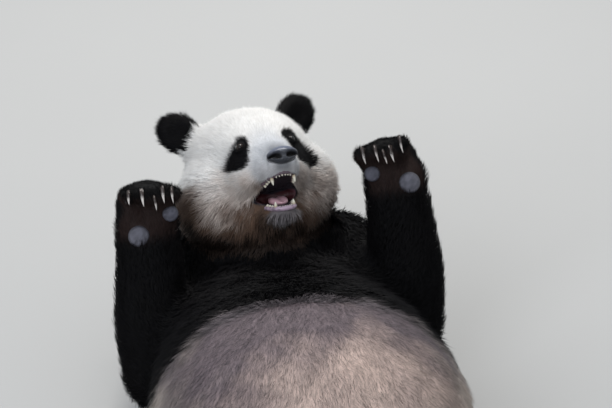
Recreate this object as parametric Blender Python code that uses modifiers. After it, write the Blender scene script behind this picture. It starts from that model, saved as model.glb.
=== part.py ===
"""A life-size giant panda lying on its back, head raised, both forepaws lifted beside the muzzle.

The animal lies along Y with its head towards +Y, its hind feet towards -Y and its belly up.
Its own left is +X. Each mass of the body is set up from balls, rounded limbs and a loft, fused
into one smooth form with a Remesh, and then parted where a person would name its parts.
"""

import math

import bmesh
import bpy
from mathutils import Matrix, Vector

# --- Driving dimensions, in metres and degrees, out to the tips of the coat -------------------
GAP = 0.0008  # left between pieces that meet
BODY_X, BODY_DRIFT = 0.022, -0.032  # the middle line of the trunk at Y = 0, and its slope along Y
HEAD_CENTRE = Vector((0.0, 0.0, 0.390))
HEAD_HALF_WIDTH = 0.163
HEAD_TURN = 17.0  # towards the animal's left
HEAD_LIFT = 53.0  # the muzzle above the horizontal
HEAD_ROLL = -4.5

SHOULDER_HALF = 0.222
BELLY_HALF = 0.300
BELLY_TOP = 0.460
TRUNK_SINK = 0.010  # how far the back is pressed flat on the floor

SHOULDER = {"right": Vector((-0.120, -0.045, 0.175)), "left": Vector((0.165, -0.030, 0.180))}
ELBOW = {"right": Vector((-0.222, -0.290, 0.135)), "left": Vector((0.283, -0.200, 0.155))}
WRIST = {"right": Vector((-0.222, -0.152, 0.379)), "left": Vector((0.265, -0.090, 0.406))}
HAND_UP = {"right": Vector((-0.03, 0.42, 0.90)), "left": Vector((-0.12, 0.44, 0.88))}
PALM_FACES = Vector((-0.05, -0.86, 0.50))

HIP_SIDE, HIP_Y, HIP_Z = 0.130, -0.745, 0.180
KNEE_SIDE, KNEE_Y, KNEE_Z = 0.272, -0.930, 0.215
ANKLE_SIDE, ANKLE_Y, ANKLE_Z = 0.305, -1.130, 0.085
FOOT_LENGTH, FOOT_SPREAD = 0.215, 0.0260
FOOT_TOE_OUT = 14.0
FOOT_LEAN = -10.0  # the toes lean away from the shank
TAIL_Y = -0.930

EYE_RADIUS = 0.0110
EAR = Vector((0.1195, 0.1170, -0.0240))  # the right one mirrors it
EAR_SPREAD, EAR_FACES_OUT = 44.0, 16.0
CANINE_LENGTH = 0.0205
UPPER_CANINE, LOWER_CANINE = 0.0225, 0.0185  # from the middle of the jaw
DIGITS = 5
SIDES = {"right": -1.0, "left": 1.0}

# Share of the triangles that each fused form keeps
TRIANGLES = {"head": 700, "jaw": 130, "trunk": 500, "arm": 600, "leg": 335, "ear": 80, "tail": 60}

# Colour, roughness of each finish
FINISHES = {
    "white_coat": ((0.72, 0.64, 0.54), 0.85),
    "black_coat": ((0.020, 0.018, 0.018), 0.80),
    "nose_leather": ((0.035, 0.037, 0.045), 0.45),
    "eye_brown": ((0.030, 0.015, 0.008), 0.10),
    "tongue_pink": ((0.62, 0.32, 0.33), 0.40),
    "claw_horn": ((0.62, 0.55, 0.48), 0.35),
    "pad_leather": ((0.17, 0.17, 0.20), 0.70),
}


# --- Small helpers --------------------------------------------------------------------------
def frame_from(up, facing):
    """A turn whose Y runs along up and whose Z runs as near to facing as it can."""
    y = up.normalized()
    z = (facing - facing.dot(y) * y).normalized()
    return Matrix((y.cross(z), y, z)).transposed()


def head_frame():
    """Where the head's own X (its left), Y (crown) and Z (muzzle) point, and where its middle lies."""
    turn, lift = math.radians(HEAD_TURN), math.radians(HEAD_LIFT)
    flat = math.cos(lift)
    muzzle = Vector((math.sin(turn) * flat, -math.cos(turn) * flat, math.sin(lift)))
    left = Vector((math.cos(turn), math.sin(turn), 0.0))
    left.rotate(Matrix.Rotation(math.radians(HEAD_ROLL), 3, muzzle))
    axes = Matrix((left, muzzle.cross(left), muzzle)).transposed()
    return Matrix.Translation(HEAD_CENTRE) @ axes.to_4x4()


def add_ball(clay, centre, radii, turn=None, rings=16):
    """An ellipsoid in the clay; turn is the 3x3 matrix of its own axes."""
    axes = (turn or Matrix.Identity(3)).to_4x4()
    place = Matrix.Translation(centre) @ axes @ Matrix.Diagonal((*radii, 1.0))
    bmesh.ops.create_uvsphere(clay, u_segments=rings + 8, v_segments=rings, radius=1.0, matrix=place)


def add_limb(clay, joints):
    """Balls at each (point, radius) with a cone from one to the next."""
    for point, radius in joints:
        add_ball(clay, point, (radius, radius, radius), rings=12)
    for (start, first), (end, last) in zip(joints, joints[1:]):
        along = end - start
        place = Matrix.Translation((start + end) / 2) @ along.to_track_quat("Z", "Y").to_matrix().to_4x4()
        bmesh.ops.create_cone(
            clay, cap_ends=True, segments=20, radius1=first, radius2=last, depth=along.length, matrix=place
        )


def trunk_middle(y):
    return BODY_X + BODY_DRIFT * y


def add_trunk(clay):
    """The trunk: oval rings across Y, from the withers to the rump, bridged into one form."""
    # y, height of the top, half width
    stations = [
        (0.170, 0.110, SHOULDER_HALF * 0.34),
        (0.158, 0.150, SHOULDER_HALF * 0.54),
        (0.130, 0.197, SHOULDER_HALF * 0.74),
        (0.080, 0.240, SHOULDER_HALF * 0.90),
        (0.005, 0.275, SHOULDER_HALF * 0.98),
        (-0.100, 0.300, SHOULDER_HALF),
        (-0.200, 0.330, SHOULDER_HALF * 1.03),
        (-0.300, 0.376, BELLY_HALF * 0.830),
        (-0.400, 0.417, BELLY_HALF * 0.915),
        (-0.500, BELLY_TOP - 0.013, BELLY_HALF * 0.975),
        (-0.600, BELLY_TOP, BELLY_HALF),
        (-0.700, BELLY_TOP - 0.020, BELLY_HALF * 0.970),
        (-0.800, 0.382, BELLY_HALF * 0.880),
        (-0.880, 0.312, BELLY_HALF * 0.740),
        (-0.930, 0.240, BELLY_HALF * 0.560),
        (-0.955, 0.175, BELLY_HALF * 0.340),
    ]
    across = Matrix.Rotation(math.radians(90), 4, "X")
    rims = []
    for y, top, half in stations:
        deep = (top + TRUNK_SINK) / 2
        middle = Matrix.Translation((trunk_middle(y), y, top - deep))
        place = middle @ across @ Matrix.Diagonal((half, deep, 1.0, 1.0))
        made = bmesh.ops.create_circle(clay, segments=36, radius=1.0, matrix=place)
        rims.append({edge for vertex in made["verts"] for edge in vertex.link_edges})
    for first, last in zip(rims, rims[1:]):
        bmesh.ops.bridge_loops(clay, edges=list(first | last))
    for rim in (rims[0], rims[-1]):
        bmesh.ops.contextual_create(clay, geom=list(rim))
    bmesh.ops.recalc_face_normals(clay, faces=clay.faces)


# --- From clay to solids --------------------------------------------------------------------
def object_of(name, mesh):
    made = bpy.data.objects.new(name, mesh)
    bpy.context.scene.collection.objects.link(made)
    return made


def mesh_of(clay, name):
    mesh = bpy.data.meshes.new(name)
    clay.to_mesh(mesh)
    clay.free()
    return mesh


def evaluated(item):
    """The item's mesh with its modifiers applied; the item itself goes."""
    graph = bpy.context.evaluated_depsgraph_get()
    mesh = bpy.data.meshes.new_from_object(item.evaluated_get(graph), depsgraph=graph)
    bpy.data.objects.remove(item)
    return mesh


def fused(clay, name, voxel, smoothing, triangles):
    """One smooth closed mesh from clay whose lumps overlap, thinned to about that many triangles."""
    item = object_of(name, mesh_of(clay, name))
    remesh = item.modifiers.new("fuse", "REMESH")
    remesh.mode = "VOXEL"
    remesh.voxel_size = voxel
    smooth = item.modifiers.new("smooth", "SMOOTH")
    smooth.factor = 0.5
    smooth.iterations = smoothing
    mesh = evaluated(item)
    item = object_of(name, mesh)
    thin = item.modifiers.new("thin", "DECIMATE")
    thin.ratio = triangles / (2.0 * len(mesh.polygons))
    return evaluated(item)


def half_space(point, normal):
    """A block that fills the space in front of a plane, large enough for the whole animal."""
    clay = bmesh.new()
    size = 4.0
    turn = normal.to_track_quat("Z", "Y").to_matrix().to_4x4()
    place = Matrix.Translation(point + normal.normalized() * size / 2) @ turn
    bmesh.ops.create_cube(clay, size=size, matrix=place)
    return mesh_of(clay, "half_space")


def bisected(mesh, point, normal, keep_front):
    """The part of the mesh on one side of a plane, closed where it was cut."""
    return combined(mesh, [half_space(point, normal)], "INTERSECT" if keep_front else "DIFFERENCE")


def parted(mesh, point, normal):
    """The mesh's two sides of a plane, behind it and in front of it, with the gap between them."""
    unit = normal.normalized()
    behind = bisected(mesh, point - unit * GAP / 2, unit, keep_front=False)
    return behind, bisected(mesh, point + unit * GAP / 2, unit, keep_front=True)


def on_floor(mesh):
    """The mesh cut off flat where it would sink into the floor."""
    return bisected(mesh, Vector((0, 0, 0)), Vector((0, 0, 1)), keep_front=True)


def swollen(mesh, by):
    """A copy of the mesh grown outwards along its normals."""
    grown = bmesh.new()
    grown.from_mesh(mesh)
    bmesh.ops.triangulate(grown, faces=grown.faces)
    grown.normal_update()
    moved = [(vertex, vertex.normal * by * vertex.calc_shell_factor()) for vertex in grown.verts]
    for vertex, step in moved:
        vertex.co += step
    return mesh_of(grown, mesh.name)


def combined(mesh, others, operation):
    """The mesh after a Boolean with each of the others in turn."""
    item = object_of(mesh.name, mesh)
    helpers = [object_of("helper", other) for other in others]
    for helper in helpers:
        step = item.modifiers.new("step", "BOOLEAN")
        step.operation = operation
        step.object = helper
    made = largest_body(evaluated(item))
    for helper in helpers:
        bpy.data.objects.remove(helper)
    return made


def carved(mesh, *cutters):
    """The mesh with room for its neighbours: each neighbour, grown by the gap, is cut out of it."""
    return combined(mesh, [swollen(cutter, GAP) for cutter in cutters], "DIFFERENCE")


def largest_body(mesh):
    """The mesh without the crumbs that a cut can leave."""
    body = bmesh.new()
    body.from_mesh(mesh)
    bmesh.ops.remove_doubles(body, verts=body.verts, dist=0.00002)
    waiting, bodies = set(body.verts), []
    while waiting:
        reached, edge_of_search = set(), [next(iter(waiting))]
        while edge_of_search:
            vertex = edge_of_search.pop()
            if vertex in reached:
                continue
            reached.add(vertex)
            edge_of_search += [edge.other_vert(vertex) for edge in vertex.link_edges]
        waiting -= reached
        bodies.append(reached)
    main_body = max(bodies, key=len)
    bmesh.ops.delete(body, geom=[vertex for vertex in body.verts if vertex not in main_body], context="VERTS")
    bmesh.ops.triangulate(body, faces=body.faces)
    return mesh_of(body, mesh.name)


# --- The head -------------------------------------------------------------------------------
HEAD = head_frame()
HEAD_AXES = HEAD.to_3x3()
JAW_DROP = 26.0  # how far the mouth is open
JAW_HINGE = Vector((0.0, -0.052, 0.010))
MOUTH_CORNER_Z, MOUTH_HALF = 0.092, 0.042
MOUTH_ROOF = -0.066
MOUTH_SQUARENESS = 0.75  # 1 is a round mouth, 0 a square one
NOSE = Vector((0.0, -0.031, 0.190))
EYE = Vector((0.0500, 0.021, 0.1105))  # the right one mirrors it
JAW_DOWN = HEAD_AXES @ Matrix.Rotation(math.radians(JAW_DROP), 3, "X")


def at_head(x, y, z):
    return HEAD @ Vector((x, y, z))


def head_solid():
    """The cranium, cheeks, brow, muzzle and the ruff of the throat, fused."""
    clay = bmesh.new()
    add_ball(clay, at_head(0, 0.030, -0.018), (0.128, 0.112, 0.128), HEAD_AXES, rings=24)
    add_ball(clay, at_head(0, 0.022, 0.050), (0.092, 0.084, 0.082), HEAD_AXES)
    add_ball(clay, at_head(0, -0.016, 0.104), (0.063, 0.048, 0.062), HEAD_AXES)
    add_ball(clay, at_head(0, -0.035, 0.144), (0.050, 0.035, 0.050), HEAD_AXES)
    add_ball(clay, at_head(0, -0.091, 0.010), (0.102, 0.064, 0.088), HEAD_AXES)
    for side in SIDES.values():
        cheek = HEAD_HALF_WIDTH - 0.092
        add_ball(clay, at_head(side * cheek, -0.032, -0.010), (0.092, 0.096, 0.100), HEAD_AXES, rings=24)
        add_ball(clay, at_head(side * 0.040, -0.030, 0.078), (0.048, 0.052, 0.056), HEAD_AXES)
        add_ball(clay, at_head(side * 0.023, -0.048, 0.140), (0.030, 0.024, 0.046), HEAD_AXES)
    return fused(clay, "head", 0.0055, 7, TRIANGLES["head"])


def mouth_height(z):
    """Middle and half height of the mouth at z: its roof is level, and its floor follows the jaw."""
    drop = math.radians(JAW_DROP)
    floor = JAW_HINGE.y - 0.002 / math.cos(drop) - (z - JAW_HINGE.z) * math.tan(drop)
    return (MOUTH_ROOF + floor) / 2, (MOUTH_ROOF - floor) / 2


def mouth_hollow():
    """The open mouth: oval rings that grow taller forwards from its corners, bridged into one form."""
    clay = bmesh.new()
    rims = []
    for z in (MOUTH_CORNER_Z - 0.032, MOUTH_CORNER_Z + 0.020, MOUTH_CORNER_Z + 0.140):
        middle, half = mouth_height(z)
        made = bmesh.ops.create_circle(clay, segments=14, radius=1.0)
        for vertex in made["verts"]:
            x, y = (math.copysign(abs(part) ** MOUTH_SQUARENESS, part) for part in vertex.co.xy)
            vertex.co = at_head(x * MOUTH_HALF, middle + y * half, z)
        rims.append({edge for vertex in made["verts"] for edge in vertex.link_edges})
    for first, last in zip(rims, rims[1:]):
        bmesh.ops.bridge_loops(clay, edges=list(first | last))
    for rim in (rims[0], rims[-1]):
        bmesh.ops.contextual_create(clay, geom=list(rim))
    bmesh.ops.recalc_face_normals(clay, faces=clay.faces)
    return mesh_of(clay, "mouth")


def at_jaw(x, y, z):
    """A point of the lower jaw: z runs along the jaw from its hinge, and y is above its upper edge."""
    return HEAD @ JAW_HINGE + JAW_DOWN @ Vector((x, y, z))


def jaw_solid():
    """The front of the lower jaw up to the lip, cut flat along the gums."""
    clay = bmesh.new()
    add_ball(clay, at_jaw(0, -0.019, 0.112), (0.042, 0.022, 0.044), JAW_DOWN)
    add_ball(clay, at_jaw(0, -0.013, 0.128), (0.034, 0.017, 0.027), JAW_DOWN)
    lump = fused(clay, "lower_jaw", 0.0045, 4, TRIANGLES["jaw"])
    return bisected(lump, at_jaw(0, -0.0035, 0), JAW_DOWN @ Vector((0, 1, 0)), keep_front=False)


def tooth(root, out, length, radius, sides):
    """One pointed tooth whose root is sunk a little into the gum."""
    clay = bmesh.new()
    turn = out.to_track_quat("Z", "Y").to_matrix().to_4x4()
    place = Matrix.Translation(root + out * (length / 2 - 0.003)) @ turn
    bmesh.ops.create_cone(
        clay, cap_ends=True, segments=sides, radius1=radius, radius2=0.0, depth=length, matrix=place
    )
    return mesh_of(clay, "tooth")


def row_of_teeth(at, out, gum_y, canine_x, canine_z):
    """Two canines with six incisors in a shallow arc between them; at turns local places into points."""
    teeth = []
    for side in SIDES.values():
        teeth.append(tooth(at(side * canine_x, gum_y, canine_z), out, CANINE_LENGTH, 0.0052, 5))
    for number in range(6):
        share = (number - 2.5) / 2.5
        root = at(share * canine_x * 0.62, gum_y, canine_z + 0.0095 - 0.004 * share * share)
        teeth.append(tooth(root, out, CANINE_LENGTH * 0.55, 0.0030, 4))
    return teeth


def tongue_solid():
    """The tongue, lying in the lower jaw behind the teeth."""
    clay = bmesh.new()
    add_ball(clay, at_jaw(0, 0.002, 0.098), (0.019, 0.009, 0.030), JAW_DOWN, rings=6)
    return mesh_of(clay, "tongue")


def nose_solid():
    """The nose leather with its two nostrils."""
    clay = bmesh.new()
    add_ball(clay, HEAD @ NOSE, (0.0310, 0.0175, 0.0165), HEAD_AXES, rings=7)
    pad = mesh_of(clay, "nose")
    nostrils = []
    for side in SIDES.values():
        clay = bmesh.new()
        place = HEAD @ (NOSE + Vector((side * 0.0155, -0.002, 0.0150)))
        add_ball(clay, place, (0.0080, 0.0042, 0.0075), HEAD_AXES, rings=5)
        nostrils.append(mesh_of(clay, "nostril"))
    return combined(pad, nostrils, "DIFFERENCE")


def eye_place(side):
    return at_head(side * EYE.x, EYE.y, EYE.z)


def eye_solid(side):
    clay = bmesh.new()
    add_ball(clay, eye_place(side), (EYE_RADIUS,) * 3, HEAD_AXES, rings=5)
    return mesh_of(clay, "eye")


def ear_place(side):
    return at_head(side * EAR.x, EAR.y, EAR.z)


def ear_solid(side):
    """A round upright ear, cupped at the front."""
    roll = Matrix.Rotation(math.radians(-EAR_SPREAD * side), 3, "Z")
    facing = Matrix.Rotation(math.radians(EAR_FACES_OUT * side), 3, "Y")
    lean = HEAD_AXES @ roll @ facing
    clay = bmesh.new()
    add_ball(clay, ear_place(side), (0.0465, 0.0530, 0.026), lean)
    ear = fused(clay, "ear", 0.005, 2, TRIANGLES["ear"])
    cup = bmesh.new()
    add_ball(cup, ear_place(side) + lean @ Vector((0, -0.004, 0.028)), (0.027, 0.032, 0.015), lean, rings=6)
    return combined(ear, [mesh_of(cup, "cup")], "DIFFERENCE")


# --- The limbs ------------------------------------------------------------------------------
def hand_frame(side):
    """The forepaw's own X (across), Y (wrist to knuckles) and Z (out of the palm)."""
    return frame_from(HAND_UP[side], PALM_FACES)


# For each digit from the thumb side, in the hand's X and Y: its knuckle and its tip
FOREPAW_DIGITS = {
    "right": [
        ((0.042, 0.064), (0.052, 0.074)),
        ((0.025, 0.080), (0.035, 0.076)),
        ((0.005, 0.085), (0.019, 0.064)),
        ((-0.017, 0.083), (-0.004, 0.073)),
        ((-0.040, 0.069), (-0.031, 0.079)),
    ],
    "left": [
        ((-0.048, 0.063), (-0.057, 0.073)),
        ((-0.027, 0.074), (-0.032, 0.072)),
        ((-0.006, 0.080), (-0.017, 0.066)),
        ((0.014, 0.078), (-0.003, 0.067)),
        ((0.034, 0.066), (0.017, 0.081)),
    ],
}
KNUCKLE_OUT, TIP_OUT, DIGIT_RADIUS = 0.004, 0.052, 0.0168
CLAW_LENGTH, CLAW_RADIUS = 0.0220, 0.0042
# The bare pads of each palm, in the hand's X and Y: the large one at the heel, and the one on the thumb side
PALM_PADS = {"right": ((-0.017, 0.000), (0.046, 0.037)), "left": ((0.023, 0.006), (-0.044, 0.035))}


def forepaw_digit(side, number):
    """The joints of one curled digit: knuckle, bend and tip."""
    (root_x, root_y), (tip_x, tip_y) = FOREPAW_DIGITS[side][number]
    hand = hand_frame(side)
    joints = (
        Vector((root_x, root_y, KNUCKLE_OUT)),
        Vector(((root_x + tip_x) / 2, max(root_y, tip_y) + 0.004, (KNUCKLE_OUT + TIP_OUT) * 0.55)),
        Vector((tip_x, tip_y, TIP_OUT)),
    )
    return [WRIST[side] + hand @ joint for joint in joints]


def arm_solid(side):
    """The whole foreleg: shoulder, upper arm, forearm bent back over it, palm and curled digits."""
    shoulder, elbow, wrist = SHOULDER[side], ELBOW[side], WRIST[side]
    hand = hand_frame(side)
    clay = bmesh.new()
    add_ball(clay, shoulder, (0.100, 0.120, 0.112))
    add_limb(clay, [(shoulder, 0.100), (shoulder.lerp(elbow, 0.60), 0.090), (elbow, 0.067)])
    inward = Vector((-SIDES[side] * 0.040, 0.010, 0.045))
    add_limb(clay, [(shoulder + inward, 0.085), (elbow + inward, 0.058)])
    middle = elbow.lerp(wrist, 0.35)
    add_limb(clay, [(elbow, 0.067), (middle, 0.0770), (elbow.lerp(wrist, 0.88), 0.0655)])
    add_ball(clay, wrist + hand @ Vector((0, 0.008, 0.0)), (0.067, 0.060, 0.050), hand)
    add_ball(clay, wrist + hand @ Vector((0, 0.048, -0.004)), (0.064, 0.048, 0.030), hand)
    for number in range(DIGITS):
        root, bend, tip = forepaw_digit(side, number)
        add_limb(clay, [(root, DIGIT_RADIUS * 1.12), (bend, DIGIT_RADIUS), (tip, DIGIT_RADIUS * 0.86)])
    whole = on_floor(fused(clay, "arm_" + side, 0.006, 5, TRIANGLES["arm"]))
    inner = shoulder - Vector((SIDES[side] * 0.010, 0.0, 0.0))
    return bisected(whole, inner, Vector((SIDES[side], 0, 0)), keep_front=True)


def hind_joint(side, across, y, z):
    return Vector((trunk_middle(y) + SIDES[side] * across, y, z))


def foot_frame(side):
    """The hind foot's own X (across), Y (heel to toes) and Z (out of the sole)."""
    lean, out = math.radians(FOOT_LEAN), math.radians(FOOT_TOE_OUT)
    up = Vector((SIDES[side] * math.sin(out), math.sin(lean), math.cos(lean) * math.cos(out)))
    return frame_from(up, Vector((SIDES[side] * 0.18, -1.0, 0.0)))


def heel(side):
    return hind_joint(side, ANKLE_SIDE, ANKLE_Y - 0.022, 0.046)


def hind_digit(side, number):
    """The joints of one hind digit: root and tip, a little bent towards the sole."""
    foot = foot_frame(side)
    across = (number - 2) * FOOT_SPREAD
    reach = FOOT_LENGTH - 0.034 - 0.004 * (number - 2) ** 2
    joints = (Vector((across, reach - 0.034, 0.004)), Vector((across * 1.06, reach, 0.015)))
    return [heel(side) + foot @ joint for joint in joints]


def leg_solid(side):
    """The whole hind leg: haunch, thigh, shank, heel, sole and digits."""
    hip = hind_joint(side, HIP_SIDE, HIP_Y, HIP_Z)
    knee = hind_joint(side, KNEE_SIDE, KNEE_Y, KNEE_Z)
    ankle = hind_joint(side, ANKLE_SIDE, ANKLE_Y, ANKLE_Z)
    foot = foot_frame(side)
    clay = bmesh.new()
    add_ball(clay, hip, (0.150, 0.165, 0.175))
    add_limb(clay, [(hip, 0.158), (hip.lerp(knee, 0.6), 0.138), (knee, 0.112)])
    add_limb(clay, [(knee, 0.110), (knee.lerp(ankle, 0.55), 0.093), (ankle, 0.078)])
    add_ball(clay, heel(side), (0.058, 0.056, 0.048), foot)
    add_ball(clay, heel(side) + foot @ Vector((0, 0.055, -0.008)), (0.063, 0.080, 0.045), foot)
    add_ball(clay, heel(side) + foot @ Vector((0, 0.115, 0.000)), (0.071, 0.052, 0.035), foot)
    for number in range(DIGITS):
        root, tip = hind_digit(side, number)
        add_limb(clay, [(root, 0.0215), (tip, 0.0180)])
    whole = on_floor(fused(clay, "leg_" + side, 0.007, 5, TRIANGLES["leg"]))
    inner = hip - Vector((SIDES[side] * 0.010, 0.0, 0.0))
    return bisected(whole, inner, Vector((SIDES[side], 0, 0)), keep_front=True)


def claw_solid(base, ahead, towards, length):
    """A claw: a tapered curve that leaves its digit along ahead and bends towards the palm or sole."""
    data = bpy.data.curves.new("claw", "CURVE")
    data.dimensions = "3D"
    data.bevel_depth = CLAW_RADIUS
    data.bevel_resolution = 0
    data.use_fill_caps = True
    line = data.splines.new("POLY")
    steps = 3
    line.points.add(steps)
    for number, point in enumerate(line.points):
        share = number / steps
        place = base + ahead * length * (share - 0.25) + towards * length * 0.30 * share * share
        point.co = (*place, 1.0)
        point.radius = 1.0 - 0.86 * share**1.6
    mesh = evaluated(object_of("claw", data))
    welded = bmesh.new()
    welded.from_mesh(mesh)
    bmesh.ops.remove_doubles(welded, verts=welded.verts, dist=0.00002)
    bmesh.ops.recalc_face_normals(welded, faces=welded.faces)
    return mesh_of(welded, "claw")


def forepaw_claw(side, number):
    hand = hand_frame(side)
    tip = forepaw_digit(side, number)[2]
    ahead = (hand @ Vector((0.10, -0.72, 0.68))).normalized()
    base = tip + hand @ Vector((0, 0.005, DIGIT_RADIUS * 0.62))
    return claw_solid(base, ahead, hand @ Vector((0, -1, -0.4)), CLAW_LENGTH)


def hindfoot_claw(side, number):
    root, tip = hind_digit(side, number)
    foot = foot_frame(side)
    ahead = ((tip - root).normalized() + foot @ Vector((0, 0, 0.25))).normalized()
    return claw_solid(tip + ahead * 0.010, ahead, foot @ Vector((0, 0, 1)), CLAW_LENGTH * 1.10)


def pad_solid(side, place, radius):
    """A round bare pad, domed out of the palm."""
    hand = hand_frame(side)
    clay = bmesh.new()
    add_ball(clay, WRIST[side] + hand @ place, (radius, radius, radius * 0.62), hand, rings=5)
    return mesh_of(clay, "pad")


def tail_solid():
    """The short broad tail, lying on the floor behind the rump."""
    clay = bmesh.new()
    add_ball(clay, Vector((trunk_middle(TAIL_Y), TAIL_Y, 0.050)), (0.055, 0.075, 0.042), rings=12)
    add_ball(clay, Vector((trunk_middle(TAIL_Y), TAIL_Y - 0.055, 0.032)), (0.042, 0.055, 0.034), rings=12)
    return on_floor(fused(clay, "tail", 0.009, 3, TRIANGLES["tail"]))


# --- The whole animal -----------------------------------------------------------------------
def torso_solid():
    """The trunk with the neck that rises out of it into the back of the head."""
    clay = bmesh.new()
    add_trunk(clay)
    nape = at_head(0, -0.020, -0.080)
    base = Vector((BODY_X, -0.040, 0.165))
    add_limb(clay, [(base, 0.145), (base.lerp(nape, 0.5), 0.138), (nape, 0.120)])
    return on_floor(fused(clay, "torso", 0.010, 9, TRIANGLES["trunk"]))


def materials():
    made = {}
    for name, (colour, roughness) in FINISHES.items():
        material = bpy.data.materials.new(name)
        material.use_nodes = True
        shader = material.node_tree.nodes["Principled BSDF"]
        shader.inputs["Base Color"].default_value = (*colour, 1.0)
        shader.inputs["Roughness"].default_value = roughness
        shader.inputs["Metallic"].default_value = 0.0
        made[name] = material
    return made


def head_nodes():
    """The head's nodes as {name: (mesh, finish, origin)}, and the whole head, for the rest to fit round."""
    crown = head_solid()
    jaw = jaw_solid()
    nose = nose_solid()
    eyes = {side: eye_solid(sign) for side, sign in SIDES.items()}
    gaping = combined(crown, [mouth_hollow()], "DIFFERENCE")
    tongue = carved(tongue_solid(), jaw, gaping)
    upper = row_of_teeth(at_head, HEAD_AXES @ Vector((0, -1, 0)), MOUTH_ROOF, UPPER_CANINE, 0.158)
    lower = row_of_teeth(at_jaw, JAW_DOWN @ Vector((0, 1, 0)), -0.0035, LOWER_CANINE, 0.132)
    face = combined(carved(gaping, jaw, nose, *eyes.values()), upper, "UNION")
    found = {
        "head": (face, "white_coat", HEAD_CENTRE),
        "lower_jaw": (combined(jaw, lower, "UNION"), "white_coat", HEAD @ JAW_HINGE),
        "nose": (nose, "nose_leather", HEAD @ NOSE),
        "tongue": (tongue, "tongue_pink", at_jaw(0, 0, 0)),
    }
    for side, sign in SIDES.items():
        found["eye_" + side] = (eyes[side], "eye_brown", eye_place(sign))
        found["ear_" + side] = (carved(ear_solid(sign), crown), "black_coat", ear_place(sign))
    return found, crown


def arm_nodes(side, crown):
    """Upper arm, forearm, forepaw, pads and claws of one side, and the whole arm."""
    arm = carved(arm_solid(side), crown)
    elbow, wrist = ELBOW[side], WRIST[side]
    to_shoulder = (SHOULDER[side] - elbow).normalized()
    to_wrist = (wrist - elbow).normalized()
    upper, lower = parted(arm, elbow, to_wrist - to_shoulder)
    forearm, paw = parted(lower, wrist - to_wrist * 0.045, to_wrist)
    heel_pad, thumb_pad = PALM_PADS[side]
    pads = {
        "carpal_pad_": pad_solid(side, Vector((*heel_pad, 0.045)), 0.0215),
        "thumb_pad_": pad_solid(side, Vector((*thumb_pad, 0.036)), 0.0160),
    }
    paw = carved(paw, *pads.values())
    forearm = carved(forearm, *pads.values())
    found = {
        "upper_arm_" + side: (upper, "black_coat", SHOULDER[side]),
        "forearm_" + side: (forearm, "black_coat", elbow),
        "forepaw_" + side: (paw, "black_coat", wrist),
    }
    for stem, pad in pads.items():
        found[stem + side] = (pad, "pad_leather", wrist)
    for number in range(DIGITS):
        claw = carved(forepaw_claw(side, number), paw)
        found[f"claw_fore_{side}_{number + 1}"] = (claw, "claw_horn", forepaw_digit(side, number)[2])
    return found, arm


def leg_nodes(side):
    """Thigh, shank, hind foot and claws of one side, and the whole leg."""
    leg = leg_solid(side)
    hip = hind_joint(side, HIP_SIDE, HIP_Y, HIP_Z)
    knee = hind_joint(side, KNEE_SIDE, KNEE_Y, KNEE_Z)
    ankle = hind_joint(side, ANKLE_SIDE, ANKLE_Y, ANKLE_Z)
    bend = (knee - hip).normalized() + (ankle - knee).normalized()
    thigh, rest = parted(leg, knee, bend)
    shank, foot = parted(rest, ankle.lerp(knee, 0.16), ankle - knee)
    found = {
        "thigh_" + side: (thigh, "black_coat", hip),
        "shank_" + side: (shank, "black_coat", knee),
        "hindfoot_" + side: (foot, "black_coat", ankle),
    }
    for number in range(DIGITS):
        claw = carved(hindfoot_claw(side, number), foot)
        found[f"claw_hind_{side}_{number + 1}"] = (claw, "claw_horn", hind_digit(side, number)[1])
    return found, leg


def build():
    for item in list(bpy.data.objects):
        bpy.data.objects.remove(item)
    nodes, crown = head_nodes()
    neighbours = [crown]
    for side in SIDES:
        for made, limb in (arm_nodes(side, crown), leg_nodes(side)):
            nodes |= made
            neighbours.append(limb)
    tail = tail_solid()
    torso = carved(torso_solid(), tail, *neighbours)
    neck_base = Vector((BODY_X, -0.020, 0.250))
    trunk, neck = parted(torso, neck_base, Vector((0.0, 0.42, 0.90)))
    nodes["trunk"] = (largest_body(trunk), "white_coat", Vector((trunk_middle(-0.450), -0.450, 0.210)))
    nodes["neck"] = (largest_body(neck), "white_coat", neck_base)
    tail_root = Vector((trunk_middle(TAIL_Y), TAIL_Y, 0.040))
    nodes["tail"] = (carved(tail, *neighbours[1:]), "white_coat", tail_root)
    lay_out(nodes)


def lay_out(nodes):
    """Each node as an object with its own origin, all under one empty whose place centres the animal."""
    corners = [vertex.co for mesh, _, _ in nodes.values() for vertex in mesh.vertices]
    middle = [(min(c[axis] for c in corners) + max(c[axis] for c in corners)) / 2 for axis in (0, 1)]
    collection = bpy.data.collections.new("giant_panda")
    bpy.context.scene.collection.children.link(collection)
    root = bpy.data.objects.new("giant_panda", None)
    root.location = (-middle[0], -middle[1], 0.0)
    collection.objects.link(root)
    finishes = materials()
    for name, (mesh, finish, origin) in nodes.items():
        mesh.name = name
        mesh.transform(Matrix.Translation(-origin))
        mesh.materials.clear()
        mesh.materials.append(finishes[finish])
        mesh.shade_smooth()
        mesh.set_sharp_from_angle(angle=math.radians(50))
        item = bpy.data.objects.new(name, mesh)
        item.location = origin
        item.parent = root
        collection.objects.link(item)


build()
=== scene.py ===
"""Looks of a life-size giant panda, lying on its back with its head raised and its forepaws lifted.

One skin stands for all the nodes of flesh. It lies inside them by the depth of the coat, and the coat
is solid tufts rooted on it. Eyes, nose, mouth, claws and pads are pieces of their own.
"""

import logging
import math
from dataclasses import dataclass, field
from enum import Enum

import bmesh
import bpy
import numpy as np
from mathutils import Matrix, Vector
from mathutils.bvhtree import BVHTree


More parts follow.
